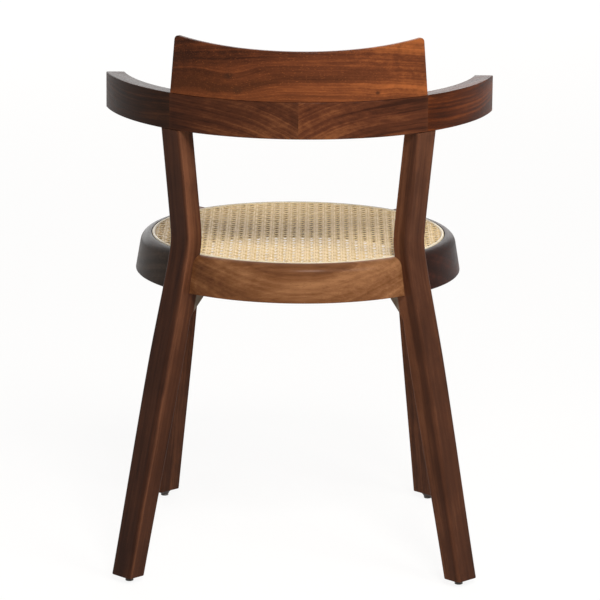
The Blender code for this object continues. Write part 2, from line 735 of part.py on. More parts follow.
def ring_tongues(parent):
    """Makes the loose tongues of the seat ring's four joints, and returns their pockets' cutter."""
    size = (RING_TONGUE_WIDTH, RING_TONGUE_LENGTH, RING_TONGUE_THICKNESS)
    spot = Vector((RING_INNER_RADIUS + RING_TONGUE_INSET + RING_TONGUE_WIDTH / 2, 0,
                   RING_BOTTOM + RING_TONGUE_RISE + RING_TONGUE_THICKNESS / 2))
    turns = {}
    for corner, angle in CORNER_ANGLES.items():
        turns[corner] = Matrix.Rotation(angle, 4, "Z") @ Matrix.Translation(spot)
    copies("seat_ring_tongue", box_mesh("seat_ring_tongue", size, 0), turns, parent, BEECH)
    return cutter_group("seat_ring_tongue_pockets", box_mesh("tongue_pocket", size, FIT_GAP), turns, parent)


def hoop_tongue(name, angle, parent):
    """Makes the loose tongue of one joint of the hoop, and returns its pocket's cutter."""
    size = (HOOP_TONGUE_LENGTH, HOOP_TONGUE_THICKNESS, HOOP_TONGUE_HEIGHT)
    middle = HOOP_TOP - HOOP_TONGUE_DROP - HOOP_TONGUE_HEIGHT / 2
    spot = Matrix.Translation(back_rail_point(angle, HOOP_THICKNESS / 2, middle))
    turn = spot @ Matrix.Rotation(-angle, 4, "Z")
    tongue = place(name, box_mesh(name, size, 0), parent, BEECH)
    tongue.matrix_local = turn
    pocket = place(name + "_pocket", box_mesh(name + "_pocket", size, FIT_GAP), parent, None)
    pocket.matrix_local = turn
    return pocket


def panel_dowels(parent):
    """Makes the dowels between the hoop and the back panel, and returns their holes' cutter."""
    middle = HOOP_TOP + FIT_GAP / 2
    turns = {}
    shares = (-DOWEL_OUTER_SHARE, -DOWEL_INNER_SHARE, DOWEL_INNER_SHARE, DOWEL_OUTER_SHARE)
    for number, share in enumerate(shares, 1):
        spot = back_rail_point(share * HOOP_JOINT_ANGLE, HOOP_THICKNESS / 2, middle)
        turns[str(number)] = Matrix.Translation(spot)
    dowel = cone_mesh("back_panel_dowel", DOWEL_RADIUS, DOWEL_RADIUS, DOWEL_LENGTH, DOWEL_SIDES)
    copies("back_panel_dowel", dowel, turns, parent, BEECH)
    hole_radius = DOWEL_RADIUS + FIT_GAP
    hole = cone_mesh("dowel_hole", hole_radius, hole_radius, DOWEL_LENGTH + 2 * FIT_GAP, DOWEL_SIDES)
    return cutter_group("dowel_holes", hole, turns, parent)


def new_empty(name, parent):
    """Makes an empty that pieces hang from."""
    empty = bpy.data.objects.new(name, None)
    pieces.objects.link(empty)
    empty.parent = parent
    return empty


def build_chair():
    """Builds the whole chair about the seat's axis."""
    seat_axis = new_empty("seat_axis", None)
    rear_reach = rear_leg_middle(FOOT_HEIGHT + LEG_FOOT_ROUND) + LEG_WIDTH / 2
    rear_reach += rear_leg_depth(FOOT_HEIGHT + LEG_FOOT_ROUND) / 2
    rear_reach = rear_reach * math.cos(math.radians(45)) - LEG_ROUND * (math.sqrt(2) - 1)
    seat_axis.location.y = (RING_BOTTOM_RADIUS - rear_reach) / 2

    screw_pockets = leg_screws(seat_axis)
    nail_pockets = glides(seat_axis)
    notches = {}
    mortises = {}
    for side in SIDES:
        for row in ("rear", "front"):
            corner = new_empty(row + "_" + side + "_corner", seat_axis)
            corner.rotation_euler.z = CORNER_ANGLES[row + "_" + side]
            if row == "rear":
                notches["rear_" + side], mortises[side] = rear_leg(side, corner, screw_pockets, nail_pockets)
            else:
                notches["front_" + side] = front_leg(side, corner, screw_pockets, nail_pockets)

    ring_pockets = (screw_pockets, ring_tongues(seat_axis))
    ring_segments = {
        "rear": (math.radians(90), ("rear_left", "rear_right")),
        "right": (math.radians(180), ("rear_right", "front_right")),
        "front": (math.radians(270), ("front_right", "front_left")),
        "left": (0, ("front_left", "rear_left")),
    }
    for name, (middle, corners) in ring_segments.items():
        leg_notches = [notches[corner] for corner in corners]
        seat_ring("seat_ring_" + name, middle, seat_axis, leg_notches, ring_pockets)
    cane_panel(seat_axis)
    cane_reed(seat_axis)

    centre_pocket = hoop_tongue("back_rail_tongue", 0, seat_axis)
    dowel_holes = panel_dowels(seat_axis)
    for side, sign in SIDES.items():
        joint_pocket = hoop_tongue("arm_tongue_" + side, sign * HOOP_JOINT_ANGLE, seat_axis)
        joint_cuts = (mortises[side], joint_pocket)
        back_rail(side, seat_axis, (*joint_cuts, centre_pocket, dowel_holes))
        arm(side, seat_axis, joint_cuts)
    back_panel(seat_axis, (dowel_holes,))


# The hoop's outer face is flush with the rear legs' outer faces where it lies on them
HOOP_JOINT_RADIUS = rear_leg_middle(HOOP_BOTTOM) + REAR_TOP_DEPTH / 2
HOOP_JOINT_X = HOOP_JOINT_RADIUS * math.cos(math.radians(45))
HOOP_CENTRE_Y = HOOP_JOINT_X - math.sqrt(HOOP_RADIUS ** 2 - HOOP_JOINT_X ** 2)
HOOP_JOINT_ANGLE = math.asin(HOOP_JOINT_X / HOOP_RADIUS)
TENON_RADIUS = HOOP_JOINT_RADIUS - HOOP_THICKNESS / 2
SIDES = {"left": 1, "right": -1}

clear_scene()
pieces = new_collection("cane_dining_chair")
cutters = new_collection("cutters")
build_chair()
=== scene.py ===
"""Looks of the cane dining chair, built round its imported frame.

Metres, +Z up. The chair faces -Y, and +X is the sitter's left. Pieces are shaped about the seat's
own axis, which stands SEAT_AXIS_Y from the origin, and then set in place.
"""
import logging
import math
from dataclasses import dataclass, field
from enum import Enum
from typing import Callable, Sequence

import bmesh
import bpy
from mathutils import Matrix, Vector


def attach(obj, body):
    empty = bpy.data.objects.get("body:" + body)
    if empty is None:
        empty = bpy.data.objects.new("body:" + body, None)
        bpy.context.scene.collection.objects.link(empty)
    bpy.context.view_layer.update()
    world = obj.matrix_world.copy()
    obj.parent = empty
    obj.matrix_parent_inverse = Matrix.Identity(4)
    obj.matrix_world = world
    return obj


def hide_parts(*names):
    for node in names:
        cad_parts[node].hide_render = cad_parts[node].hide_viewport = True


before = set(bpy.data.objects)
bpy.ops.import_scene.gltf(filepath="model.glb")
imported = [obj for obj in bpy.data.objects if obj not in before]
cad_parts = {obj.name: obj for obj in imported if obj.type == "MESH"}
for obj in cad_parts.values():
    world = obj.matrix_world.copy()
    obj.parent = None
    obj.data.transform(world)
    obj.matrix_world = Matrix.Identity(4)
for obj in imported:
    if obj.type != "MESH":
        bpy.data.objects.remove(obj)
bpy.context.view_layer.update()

logging.basicConfig(level=logging.INFO, format="%(message)s")
log = logging.getLogger("cane_dining_chair")

Point = tuple[float, float, float]
Colour = tuple[float, float, float, float]
Stops = Sequence[tuple[float, Colour]]
Pair = tuple[float, float]
Pairs = Sequence[Pair]
Item = bpy.types.Object
Material = bpy.types.Material

SEAT_AXIS_Y = -0.0111
SEAT_TOP = 0.455
RING_BOTTOM = 0.4023
REED_TOP = 0.4558
HOOP_BOTTOM = 0.6355
FIT_GAP = 0.0003
TINY = 1e-5
MERGE_GAP = 1e-6
TURNED_ANGLE = 40
CORNER_ANGLES = {"rear_left": 45, "rear_right": 135, "front_right": 225, "front_left": 315}
WHITE_RAYS = ("Is Camera Ray", "Is Glossy Ray", "Is Transmission Ray")
UP = Vector((0, 0, 1))


class Row(Enum):
    """A pair of legs."""

    REAR = "rear"
    FRONT = "front"


class Side(Enum):
    """The sitter's left or right, as a sign of X."""

    LEFT = 1
    RIGHT = -1


class Form(Enum):
    """The two forms of rail in the hoop."""

    BACK_RAIL = "back_rail"
    ARM = "arm"


class Axis(Enum):
    """The way that a set of cane strands runs, as an angle from +Y, in degrees."""

    LENGTHWISE = 0
    CROSSWISE = 90
    RISING = 45
    FALLING = -45


def srgb(*shares: int) -> Colour:
    """Turns a colour as it looks into a linear one.

    Args:
        shares: Its red, green and blue, 0 to 255.

    Returns:
        The linear colour with full alpha.
    """
    linear = []
    for share in (share / 255 for share in shares):
        linear.append(share / 12.92 if share <= 0.04045 else ((share + 0.055) / 1.055) ** 2.4)
    return (linear[0], linear[1], linear[2], 1.0)


def tones(*colours: tuple[int, int, int]) -> tuple[Colour, ...]:
    """Turns colours as they look into linear ones."""
    return tuple(srgb(*colour) for colour in colours)


def eased(place: float, stations: Pairs) -> float:
    """Eases a value between stations.

    Args:
        place: Where the value is wanted.
        stations: Pairs of a place and its value, in rising order.

    Returns:
        The value there.
    """
    below = stations[0]
    for above in stations[1:]:
        if place <= above[0]:
            share = max(0.0, (place - below[0]) / (above[0] - below[0]))
            share = share * share * (3 - 2 * share)
            return below[1] + share * (above[1] - below[1])
        below = above
    return below[1]


# ---------------------------------------------------------------- finishes


def operator(operation: str, swapped: bool = False) -> Callable:
    """Makes one of a wire's operators.

    Args:
        operation: The Math node's operation.
        swapped: Whether the wire comes second.

    Returns:
        The method, which adds the node.
    """

    def joined(wire: "Wire", other: object = 0.0) -> "Wire":
        """Adds the Math node."""
        first, second = (other, wire) if swapped else (wire, other)
        return wire.laid.node("ShaderNodeMath", {0: first, 1: second}, operation=operation)

    return joined


class Wire:
    """A shader value that takes part in Python expressions, which add the Math nodes they need."""

    __add__, __radd__ = operator("ADD"), operator("ADD", True)
    __sub__, __rsub__ = operator("SUBTRACT"), operator("SUBTRACT", True)
    __mul__, __rmul__ = operator("MULTIPLY"), operator("MULTIPLY", True)
    __pow__, __rpow__ = operator("POWER"), operator("POWER", True)
    fract, root, size = operator("FRACT"), operator("SQRT"), operator("ABSOLUTE")
    most, angle_over = operator("MAXIMUM"), operator("ARCTAN2")

    def __init__(self, laid: "Nodes", socket: bpy.types.NodeSocket) -> None:
        """Wraps a socket of a node tree."""
        self.laid, self.socket = laid, socket

    def step(self, low: float, high: float) -> "Wire":
        """Rises smoothly from 0 at low to 1 at high."""
        values = {"Value": self, "From Min": low, "From Max": high, "To Min": 0.0, "To Max": 1.0}
        return self.laid.node("ShaderNodeMapRange", values, interpolation_type="SMOOTHSTEP")


class Nodes:
    """A node tree and the nodes that are laid in it."""

    def __init__(self, tree: bpy.types.NodeTree) -> None:
        """Takes the tree."""
        self.tree = tree

    def feed(self, made: bpy.types.Node, values: dict) -> None:
        """Feeds a node.

        Args:
            made: The node.
            values: Numbers, tuples or wires for its sockets, by name or index.
        """
        for key, value in values.items():
            if isinstance(value, Wire):
                self.tree.links.new(value.socket, made.inputs[key])
            else:
                made.inputs[key].default_value = value

    def node(self, kind: str, values: dict, result: object = 0, **settings: object) -> Wire:
        """Adds a node.

        Args:
            kind: Its type.
            values: What its sockets are fed.
            result: The output wanted, by name or index.
            settings: Its settings, which are set first. "stops" is a ramp's places and colours.

        Returns:
            That output.
        """
        made = self.tree.nodes.new(kind)
        for key, setting in settings.items():
            if key == "stops":
                self.set_stops(made.color_ramp.elements, setting)
            else:
                setattr(made, key, setting)
        self.feed(made, values)
        return Wire(self, made.outputs[result])

    def set_stops(self, elements: bpy.types.ColorRampElements, stops: Stops) -> None:
        """Gives a ramp its stops.

        Args:
            elements: The ramp's elements.
            stops: Its places and colours.
        """
        while len(elements) < len(stops):
            elements.new(0.5)
        for element, (place, colour) in zip(elements, sorted(stops)):
            element.position = place
            element.color = colour

    def blend(self, share: Wire, first: Wire, second: Wire) -> Wire:
        """Mixes two shaders."""
        return self.node("ShaderNodeMixShader", {0: share, 1: first, 2: second})

    def seen(self) -> Wire:
        """Returns 1 where the camera, a reflection or glass shows the surface."""
        rays = [self.node("ShaderNodeLightPath", {}, kind) for kind in WHITE_RAYS]
        return rays[0].most(rays[1]).most(rays[2])


class Paint(Nodes):
    """A new material and the patterns that are laid in it."""

    def __init__(self, name: str) -> None:
        """Starts a material with its Principled shader.

        Args:
            name: The material's name.
        """
        self.material = bpy.data.materials.new(name)
        self.material.use_nodes = True
        super().__init__(self.material.node_tree)
        self.shader = self.tree.nodes["Principled BSDF"]

    def coordinates(self) -> Wire:
        """Returns Object coordinates."""
        return self.node("ShaderNodeTexCoord", {}, "Object")

    def attribute(self, name: str) -> Wire:
        """Returns a vector that the mesh carries."""
        return self.node("ShaderNodeAttribute", {}, "Vector", attribute_name=name)

    def local(self, place: Wire, turn: Point, origin: Point) -> Wire:
        """Returns a place in a turned and moved frame."""
        values = {"Vector": place, "Location": origin, "Rotation": turn}
        return self.node("ShaderNodeMapping", values, vector_type="TEXTURE")

    def stretched(self, vector: Wire, factors: Point) -> Wire:
        """Multiplies a vector's parts."""
        return self.node("ShaderNodeVectorMath", {0: vector, 1: factors}, operation="MULTIPLY")

    def moved(self, vector: Wire, offset: Point) -> Wire:
        """Moves a vector."""
        return self.node("ShaderNodeVectorMath", {0: vector, 1: offset}, operation="ADD")

    def parts(self, vector: Wire) -> tuple[Wire, Wire, Wire]:
        """Splits a vector."""
        outputs = self.node("ShaderNodeSeparateXYZ", {"Vector": vector}).socket.node.outputs
        return Wire(self, outputs[0]), Wire(self, outputs[1]), Wire(self, outputs[2])

    def vector(self, x: object, y: object, z: object) -> Wire:
        """Joins three parts."""
        return self.node("ShaderNodeCombineXYZ", {0: x, 1: y, 2: z})

    def noise(self, vector: Wire, detail: float = 3.0, roughness: float = 0.55) -> Wire:
        """Returns a noise about 0.5, with its finer layers and how strong these are."""
        values = {"Vector": vector, "Scale": 1.0, "Detail": detail, "Roughness": roughness}
        return self.node("ShaderNodeTexNoise", values, noise_dimensions="3D")

    def fibres(
        self, place: Wire, factors: Point, detail: float = 3.0, roughness: float = 0.55
    ) -> Wire:
        """Returns a noise that is stretched, finer where a factor is larger."""
        return self.noise(self.stretched(place, factors), detail, roughness)

    def ramp(self, share: Wire, stops: Stops) -> Wire:
        """Returns a colour ramp's colour."""
        return self.node("ShaderNodeValToRGB", {"Fac": share}, stops=stops)

    def mix(self, share: Wire, first: object, second: object) -> Wire:
        """Mixes two colours, with the second's share."""
        values = {0: share, 6: first, 7: second}
        return self.node("ShaderNodeMix", values, 2, data_type="RGBA", blend_type="MIX")

    def arris(self, low: float, high: float) -> Wire:
        """Returns 1 on outward edges, from how sharply the surface turns there."""
        return self.node("ShaderNodeNewGeometry", {}, "Pointiness").step(low, high)

    def bump(self, height: Wire, depth: float, strength: float = 1.0) -> Wire:
        """Returns a bumped normal."""
        values = {"Height": height, "Distance": depth, "Strength": strength}
        return self.node("ShaderNodeBump", values)

    def finish(
        self, colour: object, rough: object, normal: Wire | None = None, **fixed: float
    ) -> Material:
        """Feeds the shader.

        Args:
            colour: Its base colour.
            rough: Its roughness.
            normal: Its normal, where it is bumped.
            fixed: What else is the same all over, by socket name with _ for a space.

        Returns:
            The material.
        """
        values = {"Base Color": colour, "Roughness": rough}
        if normal:
            values["Normal"] = normal
        values.update({name.replace("_", " "): value for name, value in fixed.items()})
        self.feed(self.shader, values)
        return self.material


def grain_turn(along: Sequence[float], across: Sequence[float]) -> Point:
    """Finds how a board lies.

    Args:
        along: The way its grain runs.
        across: The way that its growth rings follow one another.

    Returns:
        The turn of a frame whose X runs along the grain and whose Z runs across the rings.
    """
    x = Vector(along).normalized()
    z = Vector(across)
    z = (z - x * z.dot(x)).normalized()
    turn = Matrix((x, z.cross(x), z)).transposed().to_euler("XYZ")
    return (turn.x, turn.y, turn.z)


@dataclass(frozen=True)
class Walnut:
    """Solid walnut under a satin lacquer: rings, streaks, fibre and pores in its own board.

    Attributes:
        turn: How the board lies.
        origin: Its middle.
        tones: Its dark, middle and light colour.
        streak: How many broad streaks there are to a metre of rings.
        pith: How far off the tree's middle is.
        warp: How far the rings wander.
        lines: How many fine lines there are to a metre of rings.
        fineness: How strong these are.
        shift: Where in the noise the board lies.
        slope: How much lighter it gets along the grain.
        bare_inside: Whether the seat ring's inner wall gets a pale band of painted light near its
            top.
        follows: Whether the pattern follows a leg's "grain" attribute.
        bands: Places over 0.1 m of rings, from 0 to 1, and how light they are; on the rear legs
            they run across the faces and paint light and shade.
        knots: Where knots lie along the grain and across the rings, and their size.
    """

    name: str
    turn: Point
    origin: Point
    tones: tuple[Colour, ...]
    streak: float
    contrast: float
    pith: float = 0.16
    warp: float = 0.006
    lines: float = 260.0
    fineness: float = 0.6
    shift: float = 0.0
    slope: float = 0.0
    fleck: float = 0.0
    bare_inside: bool = False
    follows: bool = False
    bands: Pairs = ()
    knots: Sequence[Point] = ()
    knot_tone: Colour = srgb(42, 24, 16)
    # Painted reflection: the grey that stands for the pale floor mirrored in the haunch's sloped
    # underside.
    haunch_tone: Colour = srgb(124, 116, 104)
    haunch_reach: Pair = (0.0183, 0.0215)
    # Painted light: a pale band high on the ring's inner wall, where light falls through the cane.
    bare_tone: Colour = srgb(222, 198, 162)
    bare_radii: Pair = (0.2003, 0.2012)
    bare_heights: Pair = (0.412, 0.452)

    def material(self) -> Material:
        """Lays the nodes.

        Returns:
            The material.
        """
        paint = Paint(self.name)
        dark, middle, light = self.tones
        place = paint.attribute("grain") if self.follows else paint.coordinates()
        board = paint.local(place, self.turn, self.origin)
        along, side, depth = paint.parts(board)
        drift = paint.moved(paint.stretched(board, (3.4, 9.0, 9.0)), (self.shift, 0, 0))
        sway = paint.noise(drift, 2.0) - 0.5
        ripple = paint.fibres(board, (11.0, 70.0, 70.0)) - 0.5
        reach = (side * side + (depth + self.pith) * (depth + self.pith)).root() - self.pith
        ring = reach + sway * (2 * self.warp) + ripple * 0.0022
        for knot in self.knots:
            near = 1.0 - self.off_knot(along, depth, knot, 0.6).step(0.0, knot[2] * 6)
            ring = ring + near * knot[2]
        streaks = paint.vector(self.shift, along * 1.3, ring * self.streak)
        lines = paint.vector(along * 2.6, self.shift, ring * self.lines)
        tone = paint.noise(streaks, 3.0, 0.6) - 0.5
        line = paint.noise(lines, 3.0, 0.62) - 0.5
        fibre = paint.fibres(board, (20.0, 900.0, 900.0), 3.0, 0.65) - 0.5
        coarse = paint.fibres(board, (7.0, 190.0, 190.0), 3.0, 0.6) - 0.5
        pore = paint.fibres(board, (150.0, 1700.0, 1700.0), 1.0).step(0.6, 0.72)
        cloud = paint.fibres(board, (14.0, 24.0, 24.0)) - 0.5
        share = (tone + line * self.fineness) * self.contrast
        share = share + coarse * 0.6 + fibre * 0.3 + cloud * 0.6 + 0.5 + along * self.slope
        if self.bands:
            share = share * 0.75 + self.band_level(paint, ring + ripple * 0.004) - 0.375
        colour = paint.ramp(share, ((0.15, dark), (0.5, middle), (0.85, light)))
        colour = paint.mix(pore * 0.45, colour, dark)
        for knot in self.knots:
            off = self.off_knot(along, depth, knot, 0.7) + ripple * 0.004
            colour = paint.mix(1.0 - off.step(knot[2] * 0.2, knot[2]), colour, self.knot_tone)
        if self.fleck:
            speck = paint.fibres(board, (260.0, 900.0, 900.0), 2.0).step(0.6, 0.7)
            colour = paint.mix(speck * self.fleck, colour, light)
        colour = self.local_tones(paint, place, colour)
        # Painted highlight: outward edges are lightened towards the light tone.
        colour = paint.mix(paint.arris(0.53, 0.62) * 0.2, colour, light)
        rough = 0.38 + coarse * 0.2 + pore * 0.12 + cloud * 0.12
        normal = paint.bump(fibre * 0.35 + coarse * 0.3 - pore * 0.7, 0.00012, 0.6)
        return paint.finish(
            colour, rough, normal, Specular_IOR_Level=0.03, Coat_Weight=0.08, Coat_Roughness=0.22
        )

    def off_knot(self, along: Wire, depth: Wire, knot: Point, squash: float) -> Wire:
        """Returns how far a place is from a knot, which is drawn out along the grain."""
        return (((along - knot[0]) * squash) ** 2.0 + (depth - knot[1]) ** 2.0).root()

    def band_level(self, paint: Paint, ring: Wire) -> Wire:
        """Returns how light each band of the board is."""
        stops = [(place, (level, level, level, 1.0)) for place, level in self.bands]
        return paint.node("ShaderNodeRGBToBW", {"Color": paint.ramp(ring * 10.0 + 0.5, stops)})

    def local_tones(self, paint: Paint, place: Wire, colour: Wire) -> Wire:
        """Paints a grey floor reflection on a leg's haunch, and a pale band of painted light high
        on the seat ring's inner wall.

        Args:
            paint: The material's nodes.
            place: The leg's grain attribute, or Object coordinates.
            colour: The board's colour.

        Returns:
            The colour with the part's own tones.
        """
        x, y, z = paint.parts(place)
        if self.follows:
            # Painted reflection: the haunch's underside is greyed as if it mirrored the floor.
            haunch = (0.0 - z).step(*self.haunch_reach)
            colour = paint.mix(haunch * 0.85, colour, self.haunch_tone)
        # Painted light: the upper inner wall of the ring is made pale, darker below.
        if self.bare_inside:
            y = y - SEAT_AXIS_Y
            inside = 1.0 - (x * x + y * y).root().step(*self.bare_radii)
            colour = paint.mix(inside * z.step(*self.bare_heights), colour, self.bare_tone)
        return colour


@dataclass(frozen=True)
class Speckled:
    """A plain finish: a grain between two tones, with spots of a third.

    Attributes:
        tones: The grain's two tones and the spots'.
        ends: Where the first two stand in the grain.
        grain: How the grain is stretched.
        spots: How the spots are stretched.
        layers: The finer layers of both.
        edges: Where a spot starts and is full.
        rough: The roughness, and what the grain and the spots add.
        dent: How deep the spots lie in the bump.
    """

    name: str
    tones: tuple[Colour, ...]
    ends: Pair
    grain: Point
    spots: Point
    layers: Pair
    edges: Pair
    strength: float
    rough: Point
    depth: float
    dent: float = 0.0
    metallic: float = 0.0

    def material(self) -> Material:
        """Lays the nodes.

        Returns:
            The material.
        """
        paint = Paint(self.name)
        place = paint.coordinates()
        grain = paint.fibres(place, self.grain, self.layers[0])
        spot = paint.fibres(place, self.spots, self.layers[1]).step(*self.edges)
        colour = paint.ramp(grain, tuple(zip(self.ends, self.tones)))
        colour = paint.mix(spot * self.strength, colour, self.tones[2])
        rough = self.rough[0] + (grain - 0.5) * self.rough[1] + spot * self.rough[2]
        normal = paint.bump(grain - spot * self.dent, self.depth)
        return paint.finish(colour, rough, normal, Metallic=self.metallic)


def beech() -> Speckled:
    """Returns plain pale beech with short flecks, for the hidden tongues and dowels."""
    return Speckled(
        "beech", tones((186, 147, 103), (216, 184, 142), (156, 112, 74)), ends=(0.25, 0.75),
        grain=(30.0, 30.0, 400.0), spots=(420.0, 420.0, 2200.0), layers=(4.0, 1.0),
        edges=(0.6, 0.7), strength=0.5, rough=(0.55, 0.2, 0.0), depth=0.0001, dent=0.4,
    )


def brown_plastic() -> Speckled:
    """Returns matte moulded plastic, dark brown, with a fine grain and scuffs."""
    return Speckled(
        "glide_plastic", tones((36, 24, 18), (58, 42, 33), (104, 88, 76)), ends=(0.3, 0.7),
        grain=(1800.0, 1800.0, 1800.0), spots=(260.0, 260.0, 900.0), layers=(2.0, 3.0),
        edges=(0.56, 0.7), strength=0.35, rough=(0.5, 0.2, 0.15), depth=0.00008,
    )


def zinced_steel(name: str) -> Speckled:
    """Returns zinc-plated steel with turning marks and small dull spots."""
    return Speckled(
        name, tones((168, 170, 172), (214, 215, 214), (138, 138, 134)), ends=(0.3, 0.7),
        grain=(300.0, 300.0, 4000.0), spots=(700.0, 700.0, 700.0), layers=(2.0, 3.0),
        edges=(0.5, 0.7), strength=0.4, rough=(0.3, 0.2, 0.2), depth=0.00003, metallic=1.0,
    )


@dataclass(frozen=True)
class Rattan:
    """The skin of rattan: fibres along the strand, soft tone changes and darker nodes."""

    name: str
    heading: float

    def material(self) -> Material:
        """Lays the nodes.

        Returns:
            The material.
        """
        paint = Paint(self.name)
        turn = (0.0, 0.0, -math.radians(self.heading))
        strand = paint.local(paint.coordinates(), turn, (0.0, 0.0, 0.0))
        fibre = paint.fibres(strand, (5200.0, 60.0, 300.0), 2.0)
        tone = paint.fibres(strand, (330.0, 4.0, 0.0), 2.0)
        node = paint.fibres(strand, (240.0, 26.0, 0.0), 1.0).step(0.66, 0.72)
        share = 0.5 + (tone - 0.5) * 1.5 + (fibre - 0.5) * 0.5
        colour = paint.ramp(share, ((0.15, srgb(194, 160, 104)), (0.75, srgb(228, 200, 144))))
        colour = paint.mix(node * 0.45, colour, srgb(150, 112, 68))
        rough = 0.4 + (fibre - 0.5) * 0.25 + node * 0.1
        return paint.finish(colour, rough, paint.bump(fibre, 0.00006), Specular_IOR_Level=0.12)


@dataclass(frozen=True)
class Reed:
    """Pale rattan reed: fibres that run round the ring, with a few darker nodes."""

    name: str = "reed"

    def material(self) -> Material:
        """Lays the nodes.

        Returns:
            The material.
        """
        paint = Paint(self.name)
        x, y, z = paint.parts(paint.moved(paint.coordinates(), (0.0, -SEAT_AXIS_Y, 0.0)))
        radius = (x * x + y * y).root()
        angle = y.angle_over(x)
        fibre = paint.noise(paint.vector(angle * 12.0, radius * 2600.0, z * 2600.0))
        tone = paint.noise(paint.vector(angle * 5.0, 0.0, 0.0), 2.0)
        node = 1.0 - ((angle * 5.0).fract() - 0.5).size().step(0.004, 0.014)
        share = 0.5 + (fibre - 0.5) * 0.9 + (tone - 0.5) * 0.8
        colour = paint.ramp(share, ((0.2, srgb(206, 184, 142)), (0.8, srgb(240, 229, 203))))
        colour = paint.mix(node * 0.5, colour, srgb(160, 124, 80))
        return paint.finish(colour, 0.45 + (fibre - 0.5) * 0.2, paint.bump(fibre, 0.00008))


@dataclass(frozen=True)
class Felt:
    """Pressed grey felt: matted fibres and a little dust."""

    name: str = "felt"

    def material(self) -> Material:
        """Lays the nodes.

        Returns:
            The material.
        """
        paint = Paint(self.name)
        place = paint.coordinates()
        fuzz = paint.fibres(place, (2400.0, 2400.0, 3840.0), 4.0, 0.7)
        patch = paint.fibres(place, (500.0, 500.0, 500.0), 2.0)
        share = 0.5 + (fuzz - 0.5) * 1.6 + (patch - 0.5) * 0.6
        colour = paint.ramp(share, ((0.15, srgb(96, 94, 92)), (0.85, srgb(158, 156, 152))))
        rough = 0.9 + (fuzz - 0.5) * 0.1
        return paint.finish(colour, rough, paint.bump(fuzz, 0.0003), Sheen_Weight=0.3)


# ---------------------------------------------------------------- the bench


def choose(item: Item) -> None:
    """Selects one object alone and makes it the active one.

    Args:
        item: The object.
    """
    bpy.ops.object.select_all(action="DESELECT")
    item.select_set(True)
    bpy.context.view_layer.objects.active = item


class Workpiece:
    """A mesh on the bench, which is shaped in edit mode with the modelling operators."""

    def __init__(self, item: Item) -> None:
        """Opens an object in edit mode, all selected.

        Args:
            item: The object.
        """
        self.item = item
        choose(item)
        self.edit()
        self.pick_all()

    def edit(self) -> None:
        """Opens the piece in edit mode."""
        bpy.ops.object.mode_set(mode="EDIT")
        bpy.ops.mesh.select_mode(type="VERT")

    def pick_all(self) -> None:
        """Selects everything."""
        bpy.ops.mesh.select_all(action="SELECT")

    def pick_points(self, wanted: Callable[[Vector], bool]) -> None:
        """Selects corners and what lies between them.

        Args:
            wanted: Tells from a corner's place whether it is wanted.
        """
        bpy.ops.mesh.select_mode(type="VERT")
        mesh = bmesh.from_edit_mesh(self.item.data)
        for corner in mesh.verts:
            corner.select = bool(wanted(corner.co))
        mesh.select_flush(False)
        mesh.select_flush(True)
        bmesh.update_edit_mesh(self.item.data)

    def pick_edges(self, wanted: Callable[[bmesh.types.BMEdge], bool]) -> None:
        """Selects edges.

        Args:
            wanted: Tells whether an edge is wanted.
        """
        bpy.ops.mesh.select_mode(type="EDGE")
        mesh = bmesh.from_edit_mesh(self.item.data)
        mesh.normal_update()
        chosen = [edge for edge in mesh.edges if wanted(edge)]
        for edge in mesh.edges:
            edge.select = False
        for edge in chosen:
            edge.select = True
        mesh.select_flush_mode()
        bmesh.update_edit_mesh(self.item.data)

    def pick_level(self, height: float, radius: float | None = None) -> None:
        """Selects the edges that lie at a height, and at a radius where one is given."""
        self.pick_edges(lambda e: all(
            abs(v.co.z - height) < TINY / 2
            and (radius is None or abs(v.co.xy.length - radius) < TINY) for v in e.verts
        ))

    def move(self, offset: Sequence[float]) -> None:
        """Moves the selection."""
        bpy.ops.transform.translate(value=tuple(offset))

    def resize(self, factors: Sequence[float], about: Sequence[float] = (0, 0, 0)) -> None:
        """Scales the selection about a point."""
        bpy.ops.transform.resize(value=tuple(factors), center_override=tuple(about))

    def turn(self, angle: float) -> None:
        """Turns everything about the Z axis, from +Y towards +X where the angle is above zero."""
        bpy.ops.transform.rotate(value=angle, orient_axis="Z", center_override=(0, 0, 0))
        self.pick_all()

    def extrude(self, offset: Sequence[float]) -> None:
        """Extrudes the selection and moves it on."""
        bpy.ops.mesh.extrude_region_move(TRANSFORM_OT_translate={"value": tuple(offset)})

    def bevel(self, width: float, steps: int, affect: str = "EDGES") -> None:
        """Rounds the selected edges or corners."""
        bpy.ops.mesh.bevel(offset=width, segments=steps, affect=affect, clamp_overlap=False)

    def spin(self, sweep: float, steps: int) -> None:
        """Spins the selection about the Z axis, the way that turn goes, and merges the piece."""
        bpy.ops.mesh.spin(steps=steps, angle=sweep, center=(0, 0, 0), axis=(0, 0, 1))
        self.merge()

    def bisect(self, place: Sequence[float], keep: Sequence[float]) -> None:
        """Cuts the piece by a plane, keeps the side that keep points to, and closes the cut."""
        self.pick_all()
        bpy.ops.mesh.bisect(
            plane_co=tuple(place), plane_no=tuple(keep), use_fill=True, clear_inner=True
        )

    def merge(self) -> None:
        """Merges doubles and turns every face outwards."""
        bpy.ops.mesh.select_mode(type="VERT")
        self.pick_all()
        bpy.ops.mesh.remove_doubles(threshold=MERGE_GAP)
        bpy.ops.mesh.normals_make_consistent(inside=False)

    def close(self) -> Item:
        """Leaves edit mode and returns the object."""
        bpy.ops.object.mode_set(mode="OBJECT")
        return self.item

    def done(self, place: Matrix | None = None) -> Item:
        """Merges the piece, leaves edit mode and settles the piece.

        Args:
            place: Its place and turn, where it isn't there yet.

        Returns:
            The object.
        """
        self.merge()
        self.close()
        if place is not None:
            settle(self.item, place)
        return self.item


